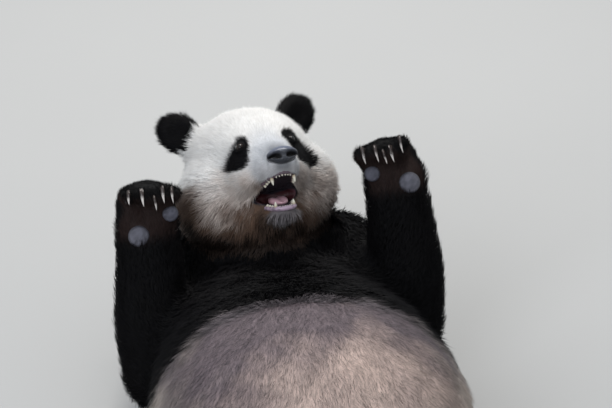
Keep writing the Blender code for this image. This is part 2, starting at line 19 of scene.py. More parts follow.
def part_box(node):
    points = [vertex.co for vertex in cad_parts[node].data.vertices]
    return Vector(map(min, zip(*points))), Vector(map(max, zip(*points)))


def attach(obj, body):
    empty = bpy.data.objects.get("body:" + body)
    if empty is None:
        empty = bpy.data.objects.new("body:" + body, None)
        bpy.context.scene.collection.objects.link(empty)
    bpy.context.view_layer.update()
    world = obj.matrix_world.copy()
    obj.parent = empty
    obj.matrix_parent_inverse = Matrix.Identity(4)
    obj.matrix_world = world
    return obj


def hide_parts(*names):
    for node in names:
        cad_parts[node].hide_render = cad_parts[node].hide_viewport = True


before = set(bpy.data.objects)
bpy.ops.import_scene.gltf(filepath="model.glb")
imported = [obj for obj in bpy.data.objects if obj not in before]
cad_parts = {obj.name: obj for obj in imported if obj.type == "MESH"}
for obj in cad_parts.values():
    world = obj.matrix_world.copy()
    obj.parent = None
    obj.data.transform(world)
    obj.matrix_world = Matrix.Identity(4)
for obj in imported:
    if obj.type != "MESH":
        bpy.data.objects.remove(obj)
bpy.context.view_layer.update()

Array = np.ndarray
Triple = tuple[float, float, float]
LOG = logging.getLogger("giant_panda")
UV_MAP = "OFBake"
SIDES = {"right": -1.0, "left": 1.0}


class Slot(Enum):
    """The record's material slots."""

    WHITE = "white_coat"
    BLACK = "black_coat"
    NOSE = "nose_leather"
    EYE = "eye_brown"
    TONGUE = "tongue_pink"
    HORN = "claw_horn"
    PAD = "pad_leather"


# --- Sums over many points ----------------------------------------------------------------------
def unit(vectors: Array) -> Array:
    """The vectors with length one."""
    return vectors / np.maximum(np.linalg.norm(vectors, axis=-1, keepdims=True), 1e-9)


def ease(low: float, high: float, values: Array) -> Array:
    """0 at low, 1 at high, with a smooth way between."""
    share = np.clip((values - low) / (high - low), 0.0, 1.0)
    return share * share * (3.0 - 2.0 * share)


def blend(first: Array, second: Array, share: Array) -> Array:
    """A mixture of two values, colours or rows of them.

    Args:
        first: What holds where share is 0.
        second: What holds where share is 1.
        share: One value for each row.

    Returns:
        One mixture for each row.
    """
    if np.ndim(first) > 1 or np.ndim(second) > 1:
        share = share[:, None]
    return first * (1.0 - share) + second * share


def wobble(points: Array, size: float, seed: int) -> Array:
    """A smooth random value from about -1 to 1 at each point.

    Args:
        points: Places, in metres.
        size: About how far apart its hills are.
        seed: Picks the pattern.

    Returns:
        One value for each point.
    """
    rng = np.random.default_rng(seed)
    total = np.zeros(len(points))
    for _ in range(6):
        way = unit(rng.normal(size=3))
        pitch = 2.0 * math.pi / size * rng.uniform(0.6, 1.6)
        phase = rng.uniform(0.0, 2.0 * math.pi)
        bend = np.sin(points @ np.roll(way, 1) * pitch * 0.7 + 2.0 * phase)
        total += np.sin(points @ way * pitch + phase + 1.4 * bend)
    return np.clip(total / 2.6, -1.0, 1.0)


# --- Where things are ---------------------------------------------------------------------------
HEAD_NODES = ("head", "nose", "eye_left", "eye_right")
FACE_NODES = (*HEAD_NODES, "lower_jaw")


def hand_nodes(side: str) -> tuple[str, ...]:
    """The nodes of one forepaw that its coat grows over."""
    return tuple(f"{name}_{side}" for name in ("forepaw", "carpal_pad", "thumb_pad"))


def middle_of(node: str) -> Array:
    """The middle of a CAD node's box."""
    low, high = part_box(node)
    return np.array((low + high) / 2)


def turned(up: Array, facing: Array) -> Array:
    """A turn from two directions.

    Args:
        up: The way its second column points.
        facing: The way its third column points, as nearly as it can.

    Returns:
        The turn's columns: across, up and facing.
    """
    y = unit(np.array(up, float))
    z = np.array(facing, float)
    z = unit(z - z.dot(y) * y)
    return np.stack([np.cross(y, z), y, z], axis=1)


@dataclass
class Head:
    """The head's own axes: x to its left, y to the crown, z along the muzzle."""

    turn: float = 17.0
    lift: float = 53.0
    roll: float = -4.5
    eye: Triple = (0.050, 0.021, 0.1105)
    jaw_drop: float = 26.0
    hinge: Triple = (0.0, -0.052, 0.010)
    mouth_roof: float = -0.066
    mouth_half: float = 0.042
    mouth_least: float = 0.004
    mouth_back: float = 0.058
    jaw_skin: float = 0.002
    squareness: float = 2.67
    axes: Array = field(init=False)
    centre: Array = field(init=False)
    jaw_axes: Array = field(init=False)
    jaw_centre: Array = field(init=False)

    def __post_init__(self) -> None:
        """Finds the axes from the angles, and the middle from the eyes."""
        turn, lift = math.radians(self.turn), math.radians(self.lift)
        flat = math.cos(lift)
        muzzle = Vector((math.sin(turn) * flat, -math.cos(turn) * flat, math.sin(lift)))
        left = Vector((math.cos(turn), math.sin(turn), 0.0))
        left.rotate(Matrix.Rotation(math.radians(self.roll), 3, muzzle))
        self.axes = np.array(Matrix((left, muzzle.cross(left), muzzle)).transposed())
        eyes = (middle_of("eye_left") + middle_of("eye_right")) / 2
        self.centre = eyes - self.axes @ np.array((0.0, self.eye[1], self.eye[2]))
        drop = np.array(Matrix.Rotation(math.radians(self.jaw_drop), 3, "X"))
        self.jaw_axes = self.axes @ drop
        self.jaw_centre = self.out(np.array(self.hinge))

    def out(self, local: Array) -> Array:
        """Places in the row frame from places on the head."""
        return self.centre + np.asarray(local) @ self.axes.T

    def local(self, points: Array) -> Array:
        """Places on the head from places in the row frame."""
        return (points - self.centre) @ self.axes

    def jaw_out(self, local: Array) -> Array:
        """Places in the row frame from places on the lower jaw."""
        return self.jaw_centre + np.asarray(local) @ self.jaw_axes.T

    def jaw_local(self, points: Array) -> Array:
        """Places on the lower jaw from places in the row frame."""
        return (points - self.jaw_centre) @ self.jaw_axes

    def mouth_span(self, z: Array) -> tuple[Array, Array]:
        """Middle and half height of the open mouth.

        Args:
            z: Places along the muzzle.

        Returns:
            The middle and the half height at each.
        """
        drop = math.radians(self.jaw_drop)
        floor = self.hinge[1] - self.jaw_skin / math.cos(drop) - (z - self.hinge[2]) * math.tan(drop)
        return (self.mouth_roof + floor) / 2, np.maximum((self.mouth_roof - floor) / 2, self.mouth_least)

    def mouth_top(self, x: float, z: float) -> float:
        """Height of the mouth's rounded roof.

        Args:
            x: Place across the head.
            z: Place along the muzzle.

        Returns:
            Its height on the head.
        """
        middle, half = self.mouth_span(np.array(z))
        share = min(abs(x) / self.mouth_half, 0.98)
        return float(middle + half * (1.0 - share**self.squareness) ** (1.0 / self.squareness))

    def mouth(self, points: Array) -> Array:
        """How far each point is inside the open mouth.

        Args:
            points: Places in the row frame.

        Returns:
            One distance in metres for each, below 0 outside the mouth.
        """
        x, y, z = self.local(points).T
        middle, half = self.mouth_span(z)
        power = self.squareness
        across, upward = np.abs(x) / self.mouth_half, np.abs(y - middle) / half
        norm = (across**power + upward**power) ** (1.0 / power)
        away = np.hypot(x, y - middle)
        return np.minimum(away * (1.0 / np.maximum(norm, 0.02) - 1.0), z - self.mouth_back)


@dataclass
class Paw:
    """A forepaw's own axes: x across, y from wrist to knuckles, z out of the palm."""

    side: str
    axes: Array = field(init=False)
    wrist: Array = field(init=False)

    def __post_init__(self) -> None:
        """Turns the axes as the hand is held, and finds the wrist from the pad at the heel of the palm."""
        up = {"right": (-0.03, 0.42, 0.90), "left": (-0.12, 0.44, 0.88)}[self.side]
        pad = {"right": (-0.017, 0.000, 0.045), "left": (0.023, 0.006, 0.045)}[self.side]
        self.axes = turned(up, (-0.05, -0.86, 0.50))
        self.wrist = middle_of("carpal_pad_" + self.side) - self.axes @ np.array(pad)

    def local(self, points: Array) -> Array:
        """Places on the paw from places in the row frame."""
        return (points - self.wrist) @ self.axes

    def out(self, local: Array) -> Array:
        """Places in the row frame from places on the paw."""
        return self.wrist + np.asarray(local) @ self.axes.T


@dataclass
class Sole:
    """A hind foot's own axes: x across, y from heel to toes, z out of the sole."""

    side: str
    toe_out: float = 14.0
    lean: float = -10.0
    axes: Array = field(init=False)
    toes: Array = field(init=False)

    def __post_init__(self) -> None:
        """Turns the axes as the foot stands, and finds the middle of the toes from the claws."""
        sign, out, lean = SIDES[self.side], math.radians(self.toe_out), math.radians(self.lean)
        up = (sign * math.sin(out), math.sin(lean), math.cos(lean) * math.cos(out))
        self.axes = turned(up, (sign * 0.18, -1.0, 0.0))
        self.toes = middle_of(f"claw_hind_{self.side}_3")

    def out(self, local: Array) -> Array:
        """Places in the row frame from places measured from the middle claw."""
        return self.toes + np.asarray(local) @ self.axes.T


# --- Colours ------------------------------------------------------------------------------------
@dataclass(frozen=True)
class Palette:
    """Colours of coat and bare skin, linear."""

    crown: Triple = (0.90, 0.885, 0.865)
    # The cheek and ruff tones are a warm brown stain, made darker as painted shade low on the head; the
    # darkest brown after them is painted shade under the head.
    cheek: Triple = (0.72, 0.60, 0.53)
    ruff: Triple = (0.155, 0.092, 0.062)
    ruff_shade: Triple = (0.030, 0.021, 0.017)
    nape: Triple = (0.80, 0.75, 0.69)
    chin: Triple = (0.22, 0.20, 0.21)
    # Muzzle and bridge are darker and bluer than the crown: painted shade and painted sky light; the nose fur
    # is grey fur with the same bluish painted sky light.
    muzzle: Triple = (0.68, 0.69, 0.72)
    bridge_shade: Triple = (0.56, 0.59, 0.64)
    nose_fur: Triple = (0.18, 0.19, 0.215)
    black: Triple = (0.0030, 0.0027, 0.0034)
    palm: Triple = (0.030, 0.018, 0.016)
    flank: Triple = (0.62, 0.54, 0.46)
    belly: Triple = (0.61, 0.485, 0.425)
    # The belly's grey stands both for a real mottle and for painted shade.
    belly_grey_and_shade: Triple = (0.150, 0.124, 0.136)
    gum: Triple = (0.34, 0.20, 0.25)
    # The throat's near-black red is painted shade deep in the mouth.
    throat_shade: Triple = (0.045, 0.012, 0.014)
    lip: Triple = (0.020, 0.019, 0.024)
    lower_lip: Triple = (0.13, 0.13, 0.165)


@dataclass
class Markings:
    """The animal's markings, the same for skin and coat."""

    head: Head
    paws: dict[str, Paw]
    palette: Palette = field(default_factory=Palette)
    patch_middle: float = 0.0015
    patch_top: tuple[float, float] = (0.0475, 0.0285)
    patch_run: tuple[float, float] = (0.0160, -0.0355)
    patch_lean: float = 0.0070
    patch_half: float = 0.0120
    patch_growth: float = 0.0056
    patch_fuller: float = 0.48
    chest_front: float = 0.062
    chest_back: float = 0.12

    def tone(self, name: str) -> Array:
        """One of the palette's colours."""
        return np.array(getattr(self.palette, name))

    def eye_patch(self, points: Array) -> Array:
        """Where the two black patches slant down and out from the eyes.

        Args:
            points: Places on the skin.

        Returns:
            1 inside a patch and 0 outside, for each.
        """
        here = self.head.local(points)
        side, y = here[:, 0] - self.patch_middle, here[:, 1]
        x, left = np.abs(side), ease(-0.01, 0.01, side)
        top_x, top_y = self.patch_top
        run_x, run_y = self.patch_run[0] + self.patch_lean * left, self.patch_run[1]
        along = np.clip(((x - top_x) * run_x + (y - top_y) * run_y) / (run_x**2 + run_y**2), 0, 1)
        gap = np.hypot(x - top_x - along * run_x, y - top_y - along * run_y)
        edge = self.patch_half + self.patch_growth * along + 0.0012 * wobble(points, 0.012, 3)
        edge = edge * (1.0 + self.patch_fuller * left)
        return ease(0.0018, -0.0018, gap - edge) * ease(0.01, 0.03, here[:, 2])

    def head_tones(self, points: Array) -> Array:
        """The head's colours, away from its patches and mouth, with painted shade low on the head.

        Args:
            points: Places on the skin.

        Returns:
            One colour for each.
        """
        x, y, z = self.head.local(points).T
        aside = np.abs(x)
        streak = 0.012 * wobble(points, 0.045, 11) + 0.006 * wobble(points, 0.011, 12)
        level = y + streak
        low = ease(0.005, -0.060, level + 0.20 * np.maximum(0.0, 0.09 - aside) * ease(0.06, 0.10, z))
        # Brown low on the right side behind the cheek, where the head meets the raised paw: stain and painted
        # shade.
        jowl = np.maximum(ease(0.045, 0.015, z) * ease(0.0, -0.05, x),
                          ease(0.085, 0.050, z) * ease(-0.115, -0.140, x)) * ease(0.004, -0.018, level)
        # Darkest under the back of the head: painted shade.
        under_shade = ease(0.030, 0.008, z) * ease(-0.058, -0.075, level)
        layers = (
            ("nape", ease(-0.02, -0.11, z + streak) * ease(0.10, 0.02, y) * 0.8),
            # The lower face darkens from cream to brown: a real stain with painted shade.
            ("cheek", low * 0.85),
            ("ruff", ease(-0.058, -0.106, level - 0.014 * ease(0.05, 0.08, z))),
            ("ruff", jowl * (0.75 + 0.20 * ease(-0.02, -0.04, y))),
            ("ruff_shade", np.maximum(ease(-0.100, -0.136, level), under_shade)),
            ("chin", ease(0.050, 0.030, aside) * ease(0.100, 0.118, z) * ease(-0.105, -0.115, y) * 0.8),
            # Muzzle, bridge and nose fur: painted shade and bluish painted sky light over the grey fur round
            # the nose.
            ("muzzle", ease(0.118, 0.140, z) * ease(-0.10, -0.07, y) * 0.75),
            ("bridge_shade", ease(0.055, 0.015, aside) * ease(0.10, 0.16, z) * ease(-0.06, -0.02, y) * 0.7),
            ("nose_fur", ease(0.034, 0.010, aside) * ease(0.140, 0.176, z) * ease(-0.045, -0.025, y) * 0.92),
            ("nose_fur", ease(0.020, 0.006, aside) * ease(0.165, 0.185, z) * ease(-0.030, -0.045, y) * 0.7),
        )
        found = np.tile(self.tone("crown"), (len(points), 1))
        for name, share in layers:
            found = blend(found, self.tone(name)[None], share)
        return found

    def chest(self, points: Array) -> Array:
        """Where shoulders and chest are black.

        Args:
            points: Places on the skin.

        Returns:
            1 over the black and 0 over the belly, flanks and rump, for each.
        """
        x, y, z = points.T
        aside = np.abs(x + 0.03)
        front = self.chest_front - 0.42 * np.maximum(0.0, aside - 0.12)
        edge = blend(np.full(len(x), self.chest_back), front, ease(0.10, 0.30, z))
        over = y - edge + 0.016 * wobble(points, 0.05, 21)
        return ease(-0.040, 0.030, over + 0.010 * wobble(points, 0.013, 22))

    @staticmethod
    def bald(points: Array) -> Array:
        """1 over the top of the belly, where the coat is sparse."""
        _, y, z = points.T
        return ease(0.17, 0.40, z + 0.03 * wobble(points, 0.10, 33)) * ease(-0.56, -0.28, y)

    def trunk_tones(self, points: Array) -> Array:
        """The trunk's colours: black in front, a sparse pinkish grey belly with painted shade, cream flanks
        and rump.

        Args:
            points: Places on the trunk's skin.

        Returns:
            One colour for each.
        """
        x, y = points.T[:2]
        # Greyer in a real mottle, and towards the chest and the right side as painted shade.
        grey = 0.10 + 0.18 * wobble(points, 0.13, 31) + 0.95 * ease(-0.20, -0.01, y)
        grey = np.clip(grey + 0.55 * ease(0.06, -0.20, x), 0, 1)
        belly = blend(self.tone("belly")[None], self.tone("belly_grey_and_shade")[None], grey)
        found = np.tile(self.tone("flank"), (len(points), 1))
        found = blend(found, belly, self.bald(points))
        return blend(found, self.tone("black")[None], self.chest(points))

    def neck_tones(self, points: Array) -> Array:
        """The neck's colours: white behind the crown, black under the chin and towards the shoulders.

        Args:
            points: Places on the neck's skin.

        Returns:
            One colour for each.
        """
        y, z = self.head.local(points)[:, 1:].T
        away = np.linalg.norm(points - self.head.centre, axis=1)
        nape = ease(-0.045, 0.010, y + 0.35 * (-z - 0.08))
        nape = nape * ease(-0.035, -0.075, z) * ease(0.212, 0.178, away + 0.010 * wobble(points, 0.04, 23))
        black = np.tile(self.tone("black"), (len(points), 1))
        return blend(black, self.tone("nape")[None], nape)

    def at(self, points: Array, nodes: Array) -> Array:
        """The colour at each point.

        Args:
            points: Places on the skin.
            nodes: Name of the CAD node that each place lies in.

        Returns:
            One linear colour for each point.
        """
        found = np.tile(self.tone("black"), (len(points), 1))
        for name, tones in (("trunk", self.trunk_tones), ("neck", self.neck_tones)):
            here = nodes == name
            found[here] = tones(points[here])
        found[nodes == "tail"] = self.tone("flank")
        face = np.isin(nodes, FACE_NODES)
        patched = self.eye_patch(points[face])
        found[face] = blend(self.head_tones(points[face]), self.tone("black")[None], patched)
        for side, paw in self.paws.items():
            here = np.isin(nodes, hand_nodes(side))
            _, y, z = paw.local(points[here]).T
            palm = ease(0.012, 0.026, z) * ease(-0.03, 0.0, y) * ease(0.085, 0.07, y)
            found[here] = blend(found[here], self.tone("palm")[None], palm)
        for side in SIDES:
            here = nodes == "hindfoot_" + side
            found[here] = self.tone("black") * 1.3
        vary = np.where(face, 0.03, 0.10)
        return found * (1.0 + vary * wobble(points, 0.03, 41))[:, None]

    def bare(self, points: Array, tones: Array, mouth: Array) -> Array:
        """The skin's colours, with gums, a throat darkened as painted shade, and lips put in around the
        mouth.

        Args:
            points: Places on the skin.
            tones: The coat's colour at each.
            mouth: How far each is inside the mouth.

        Returns:
            One colour for each.
        """
        x, y, z = self.head.local(points).T
        jaw = self.head.jaw_local(points)
        near = (z > 0.04) & (np.abs(x) < 0.07) & (y > -0.16) & (y < -0.03)
        # Darker deeper in the mouth: painted shade.
        inside = blend(self.tone("gum")[None], self.tone("throat_shade")[None], ease(0.125, 0.085, z))
        lower = ease(-0.001, -0.005, jaw[:, 1]) * ease(0.10, 0.12, jaw[:, 2]) * ease(0.030, 0.022, np.abs(x))
        lip = blend(self.tone("lip")[None], self.tone("lower_lip")[None], lower)
        found = blend(tones, lip, ease(-0.0065, -0.0035, mouth) * near)
        return blend(found, inside, ease(0.0, 0.003, mouth) * near)


# --- Coat ---------------------------------------------------------------------------------------
@dataclass(frozen=True)
class Kind:
    """How the coat grows in one region, in metres.

    depth is how far its tips stand over the skin, length and width are one tuft's, spacing is the
    distance from root to root, and stand in degrees is what its root rises above its mean slope.
    """

    depth: float
    length: float
    spacing: float
    width: float
    stand: float = 16.0


class Region(Enum):
    """The regions of the coat."""

    MUZZLE = Kind(0.0030, 0.0060, 0.00150, 0.00050, 10)
    FACE = Kind(0.0060, 0.0115, 0.00175, 0.00060, 12)
    CROWN = Kind(0.0095, 0.0180, 0.00190, 0.00062, 14)
    CHEEK = Kind(0.0130, 0.0270, 0.00212, 0.00066)
    RUFF = Kind(0.0160, 0.0350, 0.00235, 0.00072)
    EAR = Kind(0.0075, 0.0165, 0.00200, 0.00075)
    NECK = Kind(0.0160, 0.0330, 0.00340, 0.00100)
    TRUNK = Kind(0.0200, 0.0400, 0.00430, 0.00122)
    BELLY = Kind(0.0048, 0.0180, 0.00285, 0.00042, 6)
    ARM = Kind(0.0150, 0.0320, 0.00375, 0.00108)
    FOREARM = Kind(0.0130, 0.0260, 0.00320, 0.00092, 24)
    PAW = Kind(0.0050, 0.0105, 0.00210, 0.00070, 12)
    TOE = Kind(0.0060, 0.0200, 0.00185, 0.00070, 8)
    LEG = Kind(0.0180, 0.0360, 0.00420, 0.00124)
    FOOT = Kind(0.0060, 0.0130, 0.00260, 0.00095, 12)
    TAIL = Kind(0.0150, 0.0340, 0.00380, 0.00130)


REGION_OF = {
    "head": Region.CROWN,
    "lower_jaw": Region.FACE,
    "nose": Region.MUZZLE,
    "eye": Region.FACE,
    "ear": Region.EAR,
    "neck": Region.NECK,
    "trunk": Region.TRUNK,
    "tail": Region.TAIL,
    "upper_arm": Region.ARM,
    "forearm": Region.FOREARM,
    "forepaw": Region.PAW,
    "carpal_pad": Region.PAW,
    "thumb_pad": Region.PAW,
    "thigh": Region.LEG,
    "shank": Region.LEG,
    "hindfoot": Region.FOOT,
}
MEASURES = ("depth", "length", "spacing", "width", "stand")


def stem(node: str) -> str:
    """A node's name without its side."""
    return node.removesuffix("_left").removesuffix("_right")


@dataclass
class Coat:
    """How the coat grows at each point: measures of its tufts, and the way they lie."""

    head: Head
    paws: dict[str, Paw]
    soles: dict[str, Sole]

    def measures(self, points: Array, nodes: Array) -> dict[str, Array]:
        """The region's numbers at each point, with the head's zones blended into one another.

        Args:
            points: Places on the skin.
            nodes: Name of the CAD node that each place lies in.

        Returns:
            One array for each of MEASURES.
        """
        found = {}
        x, y, z = self.head.local(points).T
        on_head, chin = np.isin(nodes, HEAD_NODES), nodes == "lower_jaw"
        low = ease(0.03, -0.04, y) * ease(0.13, 0.09, z)
        ruff = ease(-0.06, -0.12, y)
        nape = ease(-0.05, -0.13, z) * ease(0.11, 0.02, y)
        face = ease(0.035, 0.085, z) * ease(0.095, 0.065, np.abs(x)) * ease(-0.08, -0.05, y)
        muzzle = ease(0.108, 0.135, z) * ease(-0.11, -0.085, y)
        along, up = points[:, 1], points[:, 2]
        belly = ease(0.17, 0.39, up) * ease(-0.56, -0.30, along) * ease(0.09, 0.01, along)
        zones = (
            (Region.NECK, nape), (Region.CHEEK, low), (Region.RUFF, ruff), (Region.FACE, face),
            (Region.MUZZLE, muzzle),
        )
        for name in MEASURES:
            value = np.zeros(len(points))
            for key, region in REGION_OF.items():
                value[self.of_stem(nodes, key)] = getattr(region.value, name)
            value = np.where(nodes == "trunk", blend(value, self.level(Region.BELLY, name, x), belly), value)
            for region, share in zones:
                value = np.where(on_head, blend(value, self.level(region, name, x), share), value)
            cheek, muzzled = self.level(Region.CHEEK, name, x), self.level(Region.MUZZLE, name, x) * 1.2
            value = np.where(chin, blend(cheek, muzzled, ease(-0.125, -0.100, y)), value)
            for side, paw in self.paws.items():
                hand = nodes == "forepaw_" + side
                arm, palm = getattr(Region.FOREARM.value, name), getattr(Region.PAW.value, name)
                share = ease(-0.030, 0.045, paw.local(points[hand])[:, 1])
                value[hand] = arm + (palm - arm) * share
                for claw, held in (("fore", hand), ("hind", nodes == "hindfoot_" + side)):
                    roots = [middle_of(f"claw_{claw}_{side}_{number}") for number in range(1, 6)]
                    near = np.min([np.linalg.norm(points[held] - root, axis=1) for root in roots], axis=0)
                    toe = self.level(Region.TOE, name, near)
                    value[held] = blend(value[held], toe, ease(0.040, 0.027, near))
            found[name] = value
        return found

    @staticmethod
    def level(region: Region, name: str, like: Array) -> Array:
        """One measure of a region, as many times as like is long."""
        return np.full(len(like), getattr(region.value, name))

    @staticmethod
    def of_stem(nodes: Array, key: str) -> Array:
        """Which points lie in a node of that kind, on either side."""
        return np.isin(nodes, (key, key + "_left", key + "_right"))

    def flow(self, points: Array, nodes: Array) -> Array:
        """The way in which the coat lies, before it is brought down onto the skin.

        Args:
            points: Places on the skin.
            nodes: Name of the CAD node that each place lies in.

        Returns:
            One direction for each.
        """
        head, found = self.head, np.zeros((len(points), 3))
        found[:, 1] = -1.0
        on_head = np.isin(nodes, FACE_NODES)
        found[on_head] = points[on_head] - head.out(np.array((0.0, -0.034, 0.168)))
        sag = ease(-0.03, -0.10, head.local(points[on_head])[:, 1])
        found[on_head] = unit(found[on_head]) + sag[:, None] * np.array((0.0, -0.25, -0.55))
        ears = self.of_stem(nodes, "ear")
        found[ears] = points[ears] - head.out(np.array((0.0, 0.030, -0.040)))
        trunk = nodes == "trunk"
        aside = points[trunk][:, 0] + 0.02
        down = -0.9 * np.minimum(1.0, np.abs(aside) * 4)
        found[trunk] = np.stack([np.clip(aside * 4.0, -0.9, 0.9), np.full(trunk.sum(), -1.0), down], axis=1)
        found[nodes == "neck"] = middle_of("trunk") - head.centre
        found[nodes == "tail"] = (0.0, -1.0, -0.1)
        for side in SIDES:
            line = [middle_of(f"{name}_{side}") for name in ("upper_arm", "forearm", "forepaw")]
            paw, outward = self.paws[side], np.array((SIDES[side] * 0.05, -0.03, -0.02))
            found[nodes == "upper_arm_" + side] = line[1] - line[0] + np.array((0.0, -0.05, -0.10))
            found[nodes == "forearm_" + side] = line[2] - line[1] + outward
            hand = np.isin(nodes, hand_nodes(side))
            found[hand] = paw.axes[:, 1] * 0.8
            for number in range(1, 6):
                claw = middle_of(f"claw_fore_{side}_{number}")
                near = ease(0.038, 0.022, np.linalg.norm(points[hand] - claw, axis=1))
                found[hand] += near[:, None] * (paw.axes @ np.array((0.1, -0.72, 0.68)) * 2.5)
            leg = [middle_of(f"{name}_{side}") for name in ("thigh", "shank", "hindfoot")]
            found[nodes == "thigh_" + side] = leg[1] - leg[0]
            found[nodes == "shank_" + side] = leg[2] - leg[1]
            found[nodes == "hindfoot_" + side] = self.soles[side].axes[:, 1]
        return unit(found)


# --- Meshes -------------------------------------------------------------------------------------
def mesh_of(clay: bmesh.types.BMesh, name: str) -> bpy.types.Mesh:
    """A mesh from a bmesh, which is freed.

    Args:
        clay: The bmesh.
        name: The mesh's name.

    Returns:
        The mesh.
    """
    mesh = bpy.data.meshes.new(name)
    clay.to_mesh(mesh)
    clay.free()
    return mesh


def object_of(mesh: bpy.types.Mesh) -> bpy.types.Object:
    """An object at the origin.

    Args:
        mesh: What it shows.

    Returns:
        The object, in the scene.
    """
    made = bpy.data.objects.new(mesh.name, mesh)
    bpy.context.scene.collection.objects.link(made)
    return made


def places(mesh: bpy.types.Mesh) -> Array:
    """The places of a mesh's vertices.

    Args:
        mesh: The mesh.

    Returns:
        One row for each vertex.
    """
    found = np.empty(len(mesh.vertices) * 3, np.float32)
    mesh.vertices.foreach_get("co", found)
    return found.reshape(-1, 3).astype(float)


def put(mesh: bpy.types.Mesh, points: Array) -> None:
    """Moves a mesh's vertices to those places."""
    mesh.vertices.foreach_set("co", points.astype(np.float32).ravel())
    mesh.update()


def normals(mesh: bpy.types.Mesh) -> Array:
    """The normals of a mesh's vertices.

    Args:
        mesh: The mesh.

    Returns:
        One row for each vertex.
    """
    found = np.empty(len(mesh.vertices) * 3, np.float32)
    mesh.vertex_normals.foreach_get("vector", found)
    return found.reshape(-1, 3).astype(float)


def keep(mesh: bpy.types.Mesh, name: str, values: Array) -> None:
    """Writes one value for each vertex as an attribute.

    Args:
        mesh: The mesh.
        name: The attribute's name.
        values: One number or one colour for each vertex.
    """
    if values.ndim == 2:
        full = np.concatenate([np.clip(values, 0.0, 1.0), np.ones((len(values), 1))], axis=1)
        made = mesh.attributes.get(name) or mesh.attributes.new(name, "FLOAT_COLOR", "POINT")
        made.data.foreach_set("color", full.astype(np.float32).ravel())
        return
    made = mesh.attributes.get(name) or mesh.attributes.new(name, "FLOAT", "POINT")
    made.data.foreach_set("value", values.astype(np.float32))


class Web:
    """Which vertices of a mesh are neighbours, for smoothing values over it."""

    def __init__(self, mesh: bpy.types.Mesh) -> None:
        """Reads the edges.

        Args:
            mesh: The mesh.
        """
        ends = np.empty(len(mesh.edges) * 2, np.int32)
        mesh.edges.foreach_get("vertices", ends)
        self.a, self.b = ends.reshape(-1, 2).T
        self.size = len(mesh.vertices)
        self.count = np.maximum(np.bincount(np.concatenate([self.a, self.b]), minlength=self.size), 1)

    def mean(self, values: Array) -> Array:
        """The mean of each vertex's neighbours.

        Args:
            values: One value or row for each vertex.

        Returns:
            The same for the neighbours' mean.
        """
        if values.ndim == 2:
            return np.stack([self.mean(column) for column in values.T], axis=1)
        total = np.bincount(self.a, values[self.b], self.size)
        return (total + np.bincount(self.b, values[self.a], self.size)) / self.count

    def soothed(self, values: Array, times: int, share: float = 0.5, mask: Array | None = None) -> Array:
        """The values smoothed over the mesh.

        Args:
            values: One value or row for each vertex.
            times: How often each is moved towards its neighbours.
            share: How far it moves each time.
            mask: How much each vertex takes part, from 0 to 1.

        Returns:
            The smoothed values.
        """
        part = share if mask is None else share * (mask if values.ndim == 1 else mask[:, None])
        for _ in range(times):
            values = values + (self.mean(values) - values) * part
        return values


@dataclass
class Nearest:
    """Finds the CAD node that each place lies in or near."""

    names: list[str] = field(default_factory=list)
    tree: BVHTree = field(init=False)

    def __post_init__(self) -> None:
        """Reads the triangles of the flesh, eyes, nose and pads."""
        points, faces = [], []
        for name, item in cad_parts.items():
            if stem(name) not in REGION_OF:
                continue
            start = len(points)
            points += [vertex.co.copy() for vertex in item.data.vertices]
            for face in item.data.polygons:
                faces.append([start + corner for corner in face.vertices])
                self.names.append(name)
        self.tree = BVHTree.FromPolygons(points, faces)

    def nodes(self, points: Array) -> Array:
        """The name of the nearest node to each point."""
        return np.array([self.names[self.tree.find_nearest(Vector(point))[2]] for point in points])


